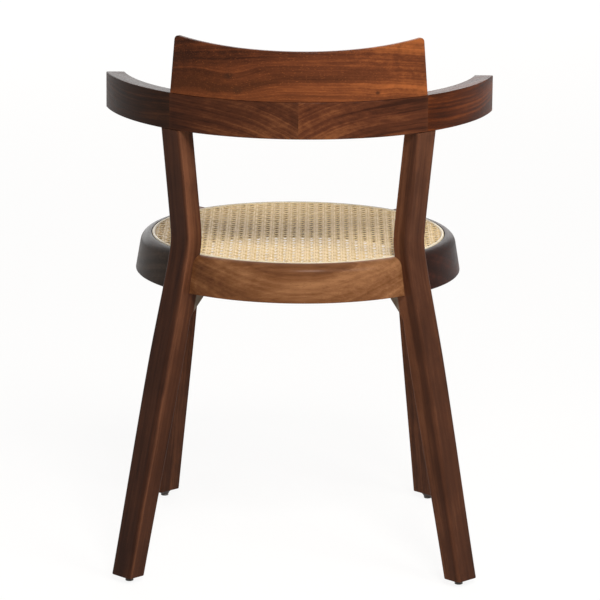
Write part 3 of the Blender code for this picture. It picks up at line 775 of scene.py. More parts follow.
def start(name: str, primitive: Callable, **sizes: object) -> Workpiece:
    """Adds a primitive.

    Args:
        name: The piece's name.
        primitive: The operator that adds it.
        sizes: What the operator is told.

    Returns:
        The piece in edit mode, all selected.
    """
    bpy.ops.object.select_all(action="DESELECT")
    primitive(**sizes)
    item = bpy.context.object
    item.name = item.data.name = name
    bpy.ops.object.transform_apply(location=True, rotation=True, scale=True)
    return Workpiece(item)


def turned(name: str, section: Pairs, sides: int) -> Workpiece:
    """Turns a section as on a lathe: a circle is extruded and resized from point to point.

    Args:
        name: The piece's name.
        section: (radius, height) points.
        sides: How many sides the circle has.

    Returns:
        The piece, still in edit mode.
    """
    circle = bpy.ops.mesh.primitive_circle_add
    radius, height = section[0]
    work = start(name, circle, vertices=sides, radius=radius, location=(0, 0, height))
    for (wide, low), (next_wide, high) in zip(section, section[1:]):
        work.extrude((0, 0, high - low))
        work.resize((next_wide / wide, next_wide / wide, 1), (0, 0, high))
    if section[0] != section[-1]:
        for _, level in (section[0], section[-1]):
            work.pick_level(level)
            bpy.ops.mesh.edge_face_add()
    work.merge()
    return work


def twin(item: Item, name: str) -> Item:
    """Copies an object with its own mesh.

    Args:
        item: The object.
        name: The copy's name.

    Returns:
        The copy.
    """
    copy = item.copy()
    copy.data = item.data.copy()
    copy.name = copy.data.name = name
    bpy.context.scene.collection.objects.link(copy)
    return copy


def settle(item: Item, place: Matrix) -> None:
    """Puts a piece in place and leaves its place in its mesh.

    Args:
        item: The piece.
        place: Its place and turn.
    """
    item.matrix_world = place
    choose(item)
    bpy.ops.object.transform_apply(location=True, rotation=True, scale=True)


def remove(item: Item) -> None:
    """Takes an object off the bench."""
    bpy.data.objects.remove(item, do_unlink=True)


def modify(item: Item, kind: str, **settings: object) -> None:
    """Gives a piece a modifier and applies it.

    Args:
        item: The piece.
        kind: The modifier's type.
        settings: Its settings.
    """
    choose(item)
    modifier = item.modifiers.new("Step", kind)
    for key, setting in settings.items():
        setattr(modifier, key, setting)
    bpy.ops.object.modifier_apply(modifier=modifier.name)


def carve(item: Item, tool: Item, operation: str = "DIFFERENCE") -> None:
    """Cuts a piece with a tool, or keeps what they share."""
    modify(item, "BOOLEAN", operation=operation, solver="EXACT", object=tool)


def deliver(
    item: Item, material: Material, slot: str, *nodes: str, angle: float = 32.0
) -> None:
    """Shades a finished piece and hands it to the frame.

    Args:
        item: The piece.
        material: Its material.
        slot: The record's material slot; not used.
        nodes: The CAD nodes that it stands for.
        angle: The angle in degrees past which an edge stays sharp.
    """
    choose(item)
    bpy.ops.object.shade_smooth_by_angle(angle=math.radians(angle))
    modify(item, "WEIGHTED_NORMAL", keep_sharp=True, weight=90)
    item.data.materials.clear()
    item.data.materials.append(material)
    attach(item, "root")
    if nodes:
        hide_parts(*nodes)
    node = ", ".join(nodes) or "no node"
    log.info("%s: %d faces, for %s", item.name, len(item.data.polygons), node)


def seat_place(angle: float = 0.0) -> Matrix:
    """Returns the place of a piece shaped about the seat's axis, turned by an angle in degrees."""
    return Matrix.Translation((0, SEAT_AXIS_Y, 0)) @ Matrix.Rotation(math.radians(angle), 4, "Z")


# ---------------------------------------------------------------- sub-assemblies


@dataclass
class Leg:
    """A leg, its haunch and its section, in the frame of its corner, where +X points outward."""

    row: Row
    width: float = 0.039
    outer_round: float = 0.0055
    inner_round: float = 0.0022
    foot_height: float = 0.0087
    face_radius: float = 0.2106
    haunch_reach: float = 0.0215
    haunch_nose: float = 0.0065
    haunch_slope: float = math.radians(42)
    haunch_nose_round: float = 0.006
    haunch_foot_round: float = 0.0185
    haunch_taper: float = math.tan(math.radians(4))
    rear_splay: float = math.tan(math.radians(13.6))
    rear_recline: float = math.tan(math.radians(7.15))
    bend_height: float = 0.4738
    bend_softness: float = 0.0023
    front_splay: float = math.tan(math.radians(7.35))
    front_setback: float = 0.0036
    rear_depths: Pairs = ((0, 0.0285), (0.3, 0.0352), (0.455, 0.0268), (0.6355, 0.0265))
    front_depths: Pairs = ((0, 0.0292), (0.27, 0.0335), (0.455, 0.0285))
    notch_foot: float = 0.34
    notch_top: float = 0.47
    steps_below: int = 16
    steps_above: dict[Row, int] = field(default_factory=lambda: {Row.REAR: 30, Row.FRONT: 8})
    round_steps: int = 6
    end_steps: int = 3
    foot_chamfer: float = 0.0012
    front_top_round: float = 0.003

    @property
    def top(self) -> float:
        """Height of the leg's upper end."""
        return HOOP_BOTTOM - FIT_GAP if self.row is Row.REAR else SEAT_TOP

    def depth(self, height: float) -> float:
        """Returns how deep the leg is, outward, at a height."""
        return eased(height, self.rear_depths if self.row is Row.REAR else self.front_depths)

    def bend(self, height: float) -> float:
        """Returns how far a rear leg's middle stands out from the corner of its bend."""
        rise, up, down = height - self.bend_height, self.rear_recline, self.rear_splay
        return (up - down) / 2 * rise + math.hypot((up + down) / 2 * rise, self.bend_softness)

    def middle(self, height: float) -> float:
        """Works out where the leg stands.

        Args:
            height: Height above the floor.

        Returns:
            The radius of the leg's middle there.
        """
        if self.row is Row.REAR:
            at_reed = self.face_radius + self.depth(REED_TOP) / 2
            return at_reed + self.bend(height) - self.bend(REED_TOP)
        at_seat = self.face_radius + self.front_setback + self.depth(SEAT_TOP) / 2
        return at_seat + self.front_splay * (SEAT_TOP - height)

    def haunch_stations(self, nose_steps: int = 6, foot_steps: int = 8) -> list[Pair]:
        """Draws the haunch: a nose under the ring, a slope, and a round into the leg's face.

        Args:
            nose_steps: Steps of the nose's round.
            foot_steps: Steps of the round at its foot.

        Returns:
            Its (height, reach) pairs, from the leg's face up to the ring.
        """
        ledge = RING_BOTTOM - FIT_GAP
        stations = [(ledge, self.haunch_reach)]
        drop, reach = self.haunch_nose, self.haunch_reach
        for step in range(nose_steps + 1):
            turn = self.haunch_slope * step / nose_steps
            reach = self.haunch_reach - self.haunch_nose_round * (1 - math.cos(turn))
            drop = self.haunch_nose + self.haunch_nose_round * math.sin(turn)
            stations.append((ledge - drop, reach))
        foot_reach = self.haunch_foot_round * (1 - math.cos(self.haunch_slope))
        drop += (reach - foot_reach) / math.tan(self.haunch_slope)
        drop += self.haunch_foot_round * math.sin(self.haunch_slope)
        for step in range(foot_steps + 1):
            turn = self.haunch_slope * (1 - step / foot_steps)
            height = ledge - drop + self.haunch_foot_round * math.sin(turn)
            stations.append((height, self.haunch_foot_round * (1 - math.cos(turn))))
        return stations[::-1]

    def build(self, name: str, grow: float = 0.0) -> Item:
        """Shapes the leg.

        Args:
            name: Its name.
            grow: How much larger it is all round, for the tool that cuts its notch in the ring.

        Returns:
            The leg in the frame of its corner.
        """
        haunch = [] if grow else self.haunch_stations()
        top = max(self.top, self.notch_top) if grow else self.top
        foot = haunch[0][0] if haunch else self.notch_foot
        below, above = self.steps_below, self.steps_above[self.row]
        rise = foot - self.foot_height
        heights = [self.foot_height + rise * step / below for step in range(below)]
        heights += [height for height, _ in haunch] or [foot]
        ledge = heights[-1] + 2 * TINY
        heights += [ledge + (top - ledge) * step / above for step in range(above + 1)]
        low_end = heights[0]
        work = start(name, bpy.ops.mesh.primitive_plane_add, size=1)
        work.resize((self.depth(low_end) + 2 * grow, self.width + 2 * grow, 1))
        for side, rounding in ((1, self.outer_round), (-1, self.inner_round)):
            work.pick_points(lambda p: p.x * side > self.depth(low_end) / 2)
            work.bevel(rounding, self.round_steps, "VERTICES")
        work.pick_all()
        work.move((self.middle(low_end), 0, low_end))
        for low, high in zip(heights, heights[1:]):
            work.extrude((self.middle(high) - self.middle(low), 0, high - low))
            share = (self.depth(high) + 2 * grow) / (self.depth(low) + 2 * grow)
            work.resize((share, 1, 1), (self.middle(high), 0, high))
        for height, reach in haunch:
            middle = self.middle(height)
            work.pick_points(lambda p: abs(p.z - height) < TINY / 2 and p.x < middle)
            work.move((-reach, 0, 0))
            taper = 1 - self.haunch_taper * reach / (self.width / 2)
            work.resize((1, taper, 1), (middle, 0, height))
        if not grow:
            ends = (low_end, top) if self.row is Row.FRONT else (low_end,)
            work.merge()
            for end, width in zip(ends, (self.foot_chamfer, self.front_top_round)):
                work.pick_level(end)
                work.bevel(width, self.end_steps)
        piece = work.done()
        grain = piece.data.attributes.new("grain", "FLOAT_VECTOR", "POINT")
        for corner, place in zip(piece.data.vertices, grain.data):
            x, y, z = corner.co
            place.vector = (z, y, x - self.middle(z))
        return piece


@dataclass
class Legs:
    """The four legs, each from its own board: how its rings tilt, and the painted light and shade
    across its faces.
    """

    tilts: dict[str, float] = field(default_factory=lambda: {
        "rear_left": -0.5, "rear_right": 0.5, "front_left": 0.9, "front_right": -0.4,
    })
    # Painted light and shade: these run across each rear leg, from its inner face to its outward
    # face, so that one face is lighter and the other darker.
    bands: dict[str, Pairs] = field(default_factory=lambda: {
        "rear_left": (
            (0.3, 0.26), (0.4, 0.36), (0.48, 0.5), (0.52, 0.56), (0.56, 0.18), (0.7, 0.16),
        ),
        "rear_right": (
            (0.32, 0.6), (0.4, 0.54), (0.45, 0.38), (0.52, 0.26), (0.56, 0.4), (0.62, 0.36),
            (0.7, 0.32),
        ),
    })

    def finish(self, corner: str) -> Walnut:
        """Chooses a leg's walnut, whose grain runs up the leg.

        Args:
            corner: The leg's corner.

        Returns:
            Its finish.
        """
        tilt = self.tilts[corner]
        return Walnut(
            "walnut_" + corner + "_leg", grain_turn((1, 0, 0), (0.0, tilt, 1.0)), (0.0, 0.0, 0.0),
            tones((47, 26, 17), (76, 45, 30), (116, 73, 50)), streak=40.0, contrast=0.7,
            # Painted light: slope lightens each leg towards its top.
            fineness=0.7, warp=0.0018, shift=7.0 * tilt, slope=0.4, follows=True,
            bands=self.bands.get(corner, ()),
        )

    def build(self) -> dict[str, Item]:
        """Builds the four legs.

        Returns:
            The tools that cut their notches in the ring, by corner.
        """
        tools = {}
        for row in Row:
            leg, word = Leg(row), row.value
            model, tool = leg.build(word + "_leg"), leg.build(word + "_notch", FIT_GAP)
            for corner, angle in CORNER_ANGLES.items():
                if corner.startswith(word):
                    node = word + "_leg_" + corner.split("_")[1]
                    piece = twin(model, "shaped_" + node)
                    tools[corner] = twin(tool, corner + "_notch")
                    for item in (piece, tools[corner]):
                        settle(item, seat_place(angle))
                    deliver(piece, self.finish(corner).material(), "walnut", node)
            remove(model)
            remove(tool)
        return tools


@dataclass
class SeatRing:
    """The solid-wood seat ring in four segments, with its groove, its lip and its rounded top."""

    inner: float = 0.2
    lip: float = 0.2041
    lip_height: float = 0.4535
    groove: float = 0.2113
    groove_bottom: float = 0.4475
    top_radius: float = 0.2248
    bottom_radius: float = 0.2337
    top_round: float = 0.0122
    bottom_round: float = 0.0015
    inner_round: float = 0.004
    groove_round: float = 0.0004
    joint_gap: float = 0.00005
    half_segment: float = 45
    board_radius: float = 0.22
    board_height: float = 0.43
    sides: int = 192
    segments: dict[str, tuple[int, float, Sequence[str]]] = field(default_factory=lambda: {
        "rear": (90, 0.75, ("rear_left", "rear_right")),
        "right": (180, 0.9, ("rear_right", "front_right")),
        "front": (270, -0.6, ("front_right", "front_left")),
        "left": (0, 0.5, ("front_left", "rear_left")),
    })
    shades: dict[str, tuple[Colour, ...]] = field(default_factory=lambda: {
        "rear": tones((80, 47, 27), (115, 74, 45), (150, 105, 70)),
        "right": tones((27, 11, 6), (45, 20, 11), (69, 33, 20)),
        "front": tones((42, 22, 13), (68, 37, 23), (100, 56, 35)),
        # The left segment's greyed tones are partly the wood's own and partly a painted reflection
        # of the pale surround.
        "left": tones((29, 21, 16), (46, 36, 29), (65, 52, 43)),
    })

    def whole(self) -> Item:
        """Turns the ring in one piece and rounds its edges.

        Returns:
            The ring about the seat's axis.
        """
        work = turned("seat_ring", (
            (self.inner, RING_BOTTOM), (self.bottom_radius, RING_BOTTOM),
            (self.top_radius, SEAT_TOP), (self.groove, SEAT_TOP),
            (self.groove, self.groove_bottom), (self.lip, self.groove_bottom),
            (self.lip, self.lip_height), (self.inner, self.lip_height), (self.inner, RING_BOTTOM),
        ), self.sides)
        for radius, height, width, steps in (
            (self.inner, RING_BOTTOM, self.inner_round, 4),
            (self.bottom_radius, RING_BOTTOM, self.bottom_round, 3),
            (self.top_radius, SEAT_TOP, self.top_round, 9),
            (self.groove, SEAT_TOP, self.groove_round, 2),
        ):
            work.pick_level(height, radius)
            work.bevel(width, steps)
        return work.done()

    def finish(self, name: str) -> Walnut:
        """Chooses a segment's walnut: its board runs along the chord, and its rings lean outward.

        Args:
            name: The segment.

        Returns:
            Its finish.
        """
        angle, lean, _ = self.segments[name]
        middle = math.radians(angle)
        out = Vector((math.cos(middle), math.sin(middle), 0))
        along = Vector((-math.sin(middle), math.cos(middle), 0))
        return Walnut(
            "walnut_seat_ring_" + name, grain_turn(along, UP + out * lean),
            tuple(out * self.board_radius + Vector((0, SEAT_AXIS_Y, self.board_height))),
            # Painted light on the upper inner wall, seen through the cane.
            self.shades[name], streak=42.0, contrast=1.1, lines=240.0, bare_inside=True,
            shift=3.0 * lean + angle, slope=0.5 if name == "rear" else 0.0,
        )

    def build(self, notches: dict[str, Item]) -> None:
        """Cuts the ring into its segments, notches them for the legs and finishes them.

        Args:
            notches: The tools that cut the notches, by corner.
        """
        whole = self.whole()
        for name, (middle, _, corners) in self.segments.items():
            work = Workpiece(twin(whole, "shaped_seat_ring_" + name))
            for side in (-1, 1):
                edge = math.radians(middle + self.half_segment * side)
                inward = Vector((math.sin(edge), -math.cos(edge), 0)) * side
                work.bisect(inward * (self.joint_gap / 2), inward)
            piece = work.done(seat_place())
            for corner in corners:
                carve(piece, notches[corner])
            deliver(piece, self.finish(name).material(), "walnut", "seat_ring_" + name)
        remove(whole)


@dataclass
class CanePanel:
    """The open six-way cane: pairs of strands both ways and single strands on both diagonals."""

    pitch: float = 0.0127
    pair: float = 0.0034
    width: float = 0.0025
    diagonal_width: float = 0.0027
    thickness: float = 0.0006
    crown: float = 0.7
    level: float = 0.4544
    radius: float = 0.2058
    sag_radius: float = 0.2
    sag: float = 0.006
    lift: float = 0.00018
    crossing: float = 0.0024
    rest: float = 2.4
    blank_reach: float = 0.01
    blank_sides: int = 128
    sharp_angle: float = 50

    def strand(self, name: str, heights: Pairs, width: float) -> Item:
        """Shapes one repeat of a strand along Y.

        Args:
            name: Its name.
            heights: (place along it, height) pairs of its rise and fall.
            width: Its width.

        Returns:
            The strand's repeat, open at both ends so that repeats join.
        """
        plane = bpy.ops.mesh.primitive_plane_add
        work = start(name, plane, size=1, rotation=(math.pi / 2, 0, 0))
        work.resize((width, 1, self.thickness))
        work.pick_points(lambda p: p.z > 0)
        work.resize((self.crown, 1, 1), (0, 0, self.thickness / 2))
        work.pick_all()
        work.move((0, *heights[0]))
        for (near, low), (far, high) in zip(heights, heights[1:]):
            work.extrude((0, far - near, high - low))
        for end in (heights[0][0], heights[-1][0]):
            work.pick_points(lambda p: abs(p.y - end) < TINY)
            bpy.ops.mesh.delete(type="ONLY_FACE")
        return work.close()

    def repeat(self, item: Item, step: Point, count: int, joined: bool) -> None:
        """Repeats a strand in a row, joined end to end where wanted."""
        modify(
            item, "ARRAY", use_relative_offset=False, use_constant_offset=True,
            constant_offset_displace=step, count=count, use_merge_vertices=joined,
            merge_threshold=TINY,
        )

    def lays(self, axis: Axis) -> list[tuple[float, float, Pairs, float]]:
        """Works out how the strands of one axis lie.

        Args:
            axis: The way they run.

        Returns:
            Each row's offset, its spacing, its (place, height) pairs and its strands' width.
        """
        if axis in (Axis.LENGTHWISE, Axis.CROSSWISE):
            half, pair = self.pitch / 2, self.pair / 2
            rows = []
            for side in (-1, 1):
                rise = self.lift * (side if axis is Axis.LENGTHWISE else -side)
                rows.append((side * pair, self.pitch, (
                    (-half, 0.0), (-self.rest * pair, 0.0), (-pair, rise), (0.0, 0.0),
                    (pair, -rise), (self.rest * pair, 0.0), (half, 0.0),
                ), self.width))
            return rows
        length, near = self.pitch * math.sqrt(2), self.crossing
        rise = 2 * self.lift * (1 if axis is Axis.RISING else -1)
        heights = (
            (-length / 2, rise), (-length / 2 + near, rise), (-near, -rise), (0.0, -rise),
            (near, -rise), (length / 2 - near, rise), (length / 2, rise),
        )
        return [(length / 4, length / 2, heights, self.diagonal_width)]

    def strands(self, axis: Axis) -> Item:
        """Lays one set of parallel strands across the seat.

        Args:
            axis: The way they run.

        Returns:
            The set about the seat's axis, longer than the seat.
        """
        slide = self.pitch / 2 if axis in (Axis.LENGTHWISE, Axis.CROSSWISE) else 0.0
        made = []
        for offset, spacing, heights, width in self.lays(axis):
            item = self.strand("cane_" + axis.name.lower(), heights, width)
            length = heights[-1][0] - heights[0][0]
            rows, columns = (2 * math.ceil(self.radius / gap) + 1 for gap in (length, spacing))
            self.repeat(item, (0, length, 0), rows, True)
            self.repeat(item, (spacing, 0, 0), columns, False)
            place = (offset - spacing * (columns // 2), slide - length * (rows // 2), self.level)
            settle(item, Matrix.Translation(place))
            made.append(item)
        whole = made[0]
        for other in made[1:]:
            choose(whole)
            other.select_set(True)
            bpy.ops.object.join()
        settle(whole, Matrix.Rotation(-math.radians(axis.value), 4, "Z"))
        work = Workpiece(whole)
        work.pick_edges(lambda e: e.is_boundary)
        bpy.ops.mesh.edge_face_add()
        return work.done()

    def trim(self, item: Item) -> None:
        """Cuts the strands off under the reed.

        Args:
            item: The strands.
        """
        low, high = self.level - self.blank_reach, self.level + self.blank_reach
        ends = ((self.radius, low), (self.radius, high))
        tool = turned("cane_blank", ends, self.blank_sides).close()
        carve(item, tool, "INTERSECT")
        remove(tool)

    def let_sag(self, item: Item) -> None:
        """Pulls the middle of the strands down in a shallow bowl.

        Args:
            item: The strands.
        """
        nearest = min(item.data.vertices, key=lambda v: v.co.xy.length).co.copy()
        work = Workpiece(item)
        work.pick_points(lambda p: p == nearest)
        bpy.ops.transform.translate(
            value=(0, 0, -self.sag), use_proportional_edit=True,
            proportional_edit_falloff="INVERSE_SQUARE", proportional_size=self.sag_radius,
        )
        work.done(seat_place())

    def build(self) -> None:
        """Weaves the panel from its four sets of strands."""
        for axis in Axis:
            item = self.strands(axis)
            name = "woven_cane_" + axis.name.lower()
            item.name = item.data.name = name
            self.trim(item)
            self.let_sag(item)
            nodes = ("cane_panel",) if axis is Axis.LENGTHWISE else ()
            material = Rattan(name, axis.value).material()
            deliver(item, material, "cane", *nodes, angle=self.sharp_angle)


@dataclass
class CaneReed:
    """The reed that wedges the cane into its groove."""

    middle_radius: float = 0.2081
    half_width: float = 0.0022
    bottom: float = 0.4478
    sides: int = 192
    section_sides: int = 16
    sharp_angle: float = 60

    def build(self) -> None:
        """Shapes the reed from a torus whose lower half is drawn down into the groove."""
        height = REED_TOP - self.half_width
        work = start(
            "shaped_reed", bpy.ops.mesh.primitive_torus_add, major_radius=self.middle_radius,
            minor_radius=self.half_width, major_segments=self.sides,
            minor_segments=self.section_sides, location=(0, 0, height),
        )
        work.pick_points(lambda p: p.z < height - TINY)
        work.move((0, 0, self.bottom - REED_TOP + 2 * self.half_width))
        piece = work.done(seat_place())
        deliver(piece, Reed().material(), "reed", "cane_reed", angle=self.sharp_angle)


@dataclass
class Hoop:
    """The hoop: two back rails on one arc, and two arms on flatter arcs that end flat."""

    height: float = 0.0515
    radius: float = 0.2653
    thickness: float = 0.0235
    edge: float = 0.0015
    arm_radius: float = 0.3163
    arm_thickness: float = 0.0262
    arm_end_y: float = 0.0075
    arm_spare: float = 0.03
    edge_steps: int = 4
    arm_steps: int = 32
    rail_steps: int = 30
    joint_gap: float = 0.00001
    centre_y: float = field(init=False)
    joint_angle: float = field(init=False)
    shades: dict[str, tuple[Colour, ...]] = field(default_factory=lambda: {
        "back_rail_left": tones((48, 24, 13), (76, 41, 24), (112, 67, 40)),
        "back_rail_right": tones((52, 26, 14), (86, 46, 27), (124, 74, 43)),
        "arm_left": tones((30, 16, 8), (47, 26, 14), (72, 42, 24)),
        "arm_right": tones((46, 20, 6), (75, 34, 12), (111, 56, 24)),
    })

    def __post_init__(self) -> None:
        """Works out where the rear legs meet the hoop."""
        leg = Leg(Row.REAR)
        outer = leg.middle(HOOP_BOTTOM) + leg.depth(HOOP_BOTTOM) / 2
        joint_x = outer * math.cos(math.radians(45))
        self.centre_y = joint_x - math.sqrt(self.radius ** 2 - joint_x ** 2)
        self.joint_angle = math.asin(joint_x / self.radius)

    @property
    def top(self) -> float:
        """Height of the hoop's top."""
        return HOOP_BOTTOM + self.height

    def blank(self, name: str, shift: float = 0.0) -> Workpiece:
        """Starts a rail: its section at the back of the hoop, with rounded edges.

        Args:
            name: The rail's name.
            shift: How much larger the rail's radius is than the hoop's.

        Returns:
            The section, all selected.
        """
        plane = bpy.ops.mesh.primitive_plane_add
        work = start(name, plane, size=1, rotation=(0, math.pi / 2, 0))
        work.resize((1, self.thickness, self.height))
        work.bevel(self.edge, self.edge_steps, "VERTICES")
        work.pick_all()
        work.move((0, self.radius - self.thickness / 2, HOOP_BOTTOM + self.height / 2))
        work.move((0, shift, 0))
        return work

    def rail(self, name: str, side: Side) -> Item:
        """Shapes a back rail, from the middle joint to its leg.

        Args:
            name: Its name.
            side: Its side.

        Returns:
            The rail in place.
        """
        work = self.blank(name)
        gap = self.joint_gap / 2 / self.radius
        work.turn(side.value * gap)
        work.spin(side.value * (self.joint_angle - 2 * gap), self.rail_steps)
        return work.done(Matrix.Translation((0, SEAT_AXIS_Y + self.centre_y, 0)))

    def arm(self, name: str, side: Side) -> Item:
        """Shapes an arm, from its leg to its flat end, growing a little thicker.

        Args:
            name: Its name.
            side: Its side.

        Returns:
            The arm in place.
        """
        work = self.blank(name, self.arm_radius - self.radius)
        out = Vector((math.sin(self.joint_angle), math.cos(self.joint_angle), 0))
        centre = Vector((0, self.centre_y, 0)) + out * (self.radius - self.arm_radius)
        tip = self.arm_end_y - centre.y
        first = self.joint_angle + self.joint_gap / 2 / self.arm_radius
        sweep = math.acos(tip / self.arm_radius) + self.arm_spare - first
        work.turn(first)
        work.spin(sweep, self.arm_steps)
        inner = self.arm_radius - self.thickness / 2
        extra = self.arm_thickness - self.thickness
        for step in range(1, self.arm_steps + 1):
            turn = first + sweep * step / self.arm_steps
            away = Vector((math.sin(turn), math.cos(turn), 0))
            side_on = Vector((away.y, -away.x, 0))
            work.pick_points(
                lambda p: abs(p.dot(side_on)) < TINY and p.dot(away) > 0 and p.xy.length < inner
            )
            work.move(-away * extra * step / self.arm_steps)
        work.bisect((0, tip, 0), (0, 1, 0))
        work.pick_edges(lambda e: all(abs(v.co.y - tip) < TINY for v in e.verts))
        work.bevel(self.edge, self.edge_steps)
        mirror = Matrix.Scale(side.value, 4, (1, 0, 0))
        work.done(seat_place() @ mirror @ Matrix.Translation(centre))
        if side is Side.RIGHT:
            work.edit()
            work.done()
        return work.item

    def finish(self, form: Form, side: Side, name: str) -> Walnut:
        """Chooses a rail's or an arm's walnut, whose rings lean.

        Args:
            form: Its form.
            side: Its side.
            name: The CAD node.

        Returns:
            Its finish.
        """
        sign = side.value
        along, across = Vector((0.55 * sign, -0.84, 0)), Vector((0.84 * sign, 0.55, 0)) * 0.4
        origin, slope = (0.22 * sign, 0.1, 0.66), 0.0
        if form is Form.BACK_RAIL:
            sine, cosine = math.sin(self.joint_angle), math.cos(self.joint_angle)
            along = Vector((cosine * sign, -sine, 0))
            across = Vector((sine * sign, cosine, 0)) * -0.85
            origin, slope = (0.05 * sign, 0.2, 0.66), -1.7
        return Walnut(
            "walnut_" + name, grain_turn(along, UP + across), origin, self.shades[name],
            streak=50.0, contrast=1.3, fineness=0.9, slope=slope,
            shift=5.0 * sign + len(form.value),
        )

    def build(self) -> None:
        """Builds both rails and both arms."""
        for side in Side:
            for form, shape in ((Form.BACK_RAIL, self.rail), (Form.ARM, self.arm)):
                name = form.value + "_" + side.name.lower()
                piece = shape("shaped_" + name, side)
                deliver(piece, self.finish(form, side, name).material(), "walnut", name)


@dataclass
class BackPanel:
    """The low curved panel on the hoop: it leans in, thins upwards and rises to its ends."""

    hoop: Hoop
    recede: float = 0.009
    top_thickness: float = 0.008
    height: float = 0.068
    end_rise: float = 0.0117
    corner: float = 0.0065
    corner_steps: int = 7
    edge: float = 0.002
    edge_steps: int = 4
    edge_angle: float = math.radians(35)
    steps: int = 64

    def build(self) -> None:
        """Shapes the panel from its section, spun along the hoop, and dresses it."""
        hoop = self.hoop
        low, high = hoop.top + FIT_GAP, hoop.top + self.height
        half_way, plane = (low + high) / 2, bpy.ops.mesh.primitive_plane_add
        work = start("shaped_back_panel", plane, size=1, rotation=(0, math.pi / 2, 0))
        work.resize((1, hoop.thickness, high - low))
        work.move((0, hoop.radius - hoop.thickness / 2, half_way))
        work.pick_points(lambda p: p.z > half_way)
        work.resize((1, self.top_thickness / hoop.thickness, 1), (0, hoop.radius, high))
        work.move((0, -self.recede, 0))
        work.pick_all()
        work.turn(-hoop.joint_angle)
        work.spin(2 * hoop.joint_angle, self.steps)
        for step in range(self.steps + 1):
            share = 2 * step / self.steps - 1
            turn = hoop.joint_angle * share
            side_on = Vector((math.cos(turn), -math.sin(turn), 0))
            work.pick_points(
                lambda p: abs(p.dot(side_on)) < TINY and p.y > 0 and p.z > half_way
            )
            work.move((0, 0, self.end_rise * share ** 2))
        peak = high + self.end_rise
        work.pick_edges(lambda e: all(v.co.z > peak - TINY for v in e.verts))
        work.bevel(self.corner, self.corner_steps)
        work.merge()
        work.pick_edges(lambda e: (
            e.calc_face_angle(0) > self.edge_angle and any(v.co.z > low + TINY for v in e.verts)
        ))
        work.bevel(self.edge, self.edge_steps)
        piece = work.done(Matrix.Translation((0, SEAT_AXIS_Y + hoop.centre_y, 0)))
        deliver(piece, self.finish().material(), "walnut", "back_panel")

    def finish(self) -> Walnut:
        """Returns the panel's walnut, in pale and dark bands, with small knots, and painted light
        that makes it lighter towards the sitter's right.
        """
        return Walnut(
            "walnut_back_panel", grain_turn((1, 0, 0), (0, -0.15, 1)), (0.0, 0.236, 0.715),
            tones((47, 23, 13), (94, 49, 27), (154, 87, 45)), streak=38.0, contrast=1.7,
            # Painted light: slope lightens the panel towards -X, the side the light comes from.
            pith=0.6, warp=0.008, lines=380.0, slope=-1.5, fleck=0.4,
            knots=(
                (0.096, 0.007, 0.007), (0.117, -0.011, 0.003), (0.084, -0.013, 0.007),
                (-0.108, -0.014, 0.003),
            ),
            bands=(
                (0.0, 0.34), (0.2, 0.37), (0.44, 0.43), (0.5, 0.33), (0.62, 0.42), (0.8, 0.46),
                (0.95, 0.54),
            ),
        )


@dataclass
class Glides:
    """The four foot glides and their felts."""

    top_radius: float = 0.0092
    bottom_radius: float = 0.006
    bottom: float = 0.0025
    height: float = 0.0059
    felt_radius: float = 0.0057
    felt_height: float = 0.0022
    insets: dict[Row, float] = field(
        default_factory=lambda: {Row.REAR: 0.0038, Row.FRONT: 0.003}
    )
    sides: int = 48

    def build(self) -> None:
        """Turns a cup and a felt, and copies them under each foot."""
        top, rim = self.bottom + self.height, self.top_radius
        foot, pad, pad_top = self.bottom_radius, self.felt_radius, self.felt_height
        cup = turned("cup", (
            (foot - 0.0006, self.bottom), (foot, self.bottom + 0.0005),
            (rim - 0.0013, top - 0.0017), (rim - 0.0002, top - 0.0013), (rim, top - 0.0008),
            (rim, top - 0.0003), (rim - 0.0003, top),
        ), self.sides).close()
        felt = turned("pad", (
            (pad - 0.0005, 0.0), (pad, 0.0005), (pad, pad_top - 0.0004), (pad - 0.0004, pad_top),
        ), self.sides).close()
        models = (
            (cup, "glide_", brown_plastic().material(), "glide_plastic"),
            (felt, "glide_felt_", Felt().material(), "felt"),
        )
        for corner, angle in CORNER_ANGLES.items():
            leg = Leg(Row(corner.split("_")[0]))
            out = leg.middle(leg.foot_height) - self.insets[leg.row]
            for model, name, material, slot in models:
                piece = twin(model, "shaped_" + name + corner)
                settle(piece, seat_place(angle) @ Matrix.Translation((out, 0, 0)))
                deliver(piece, material, slot, name + corner, angle=TURNED_ANGLE)
        remove(cup)
        remove(felt)


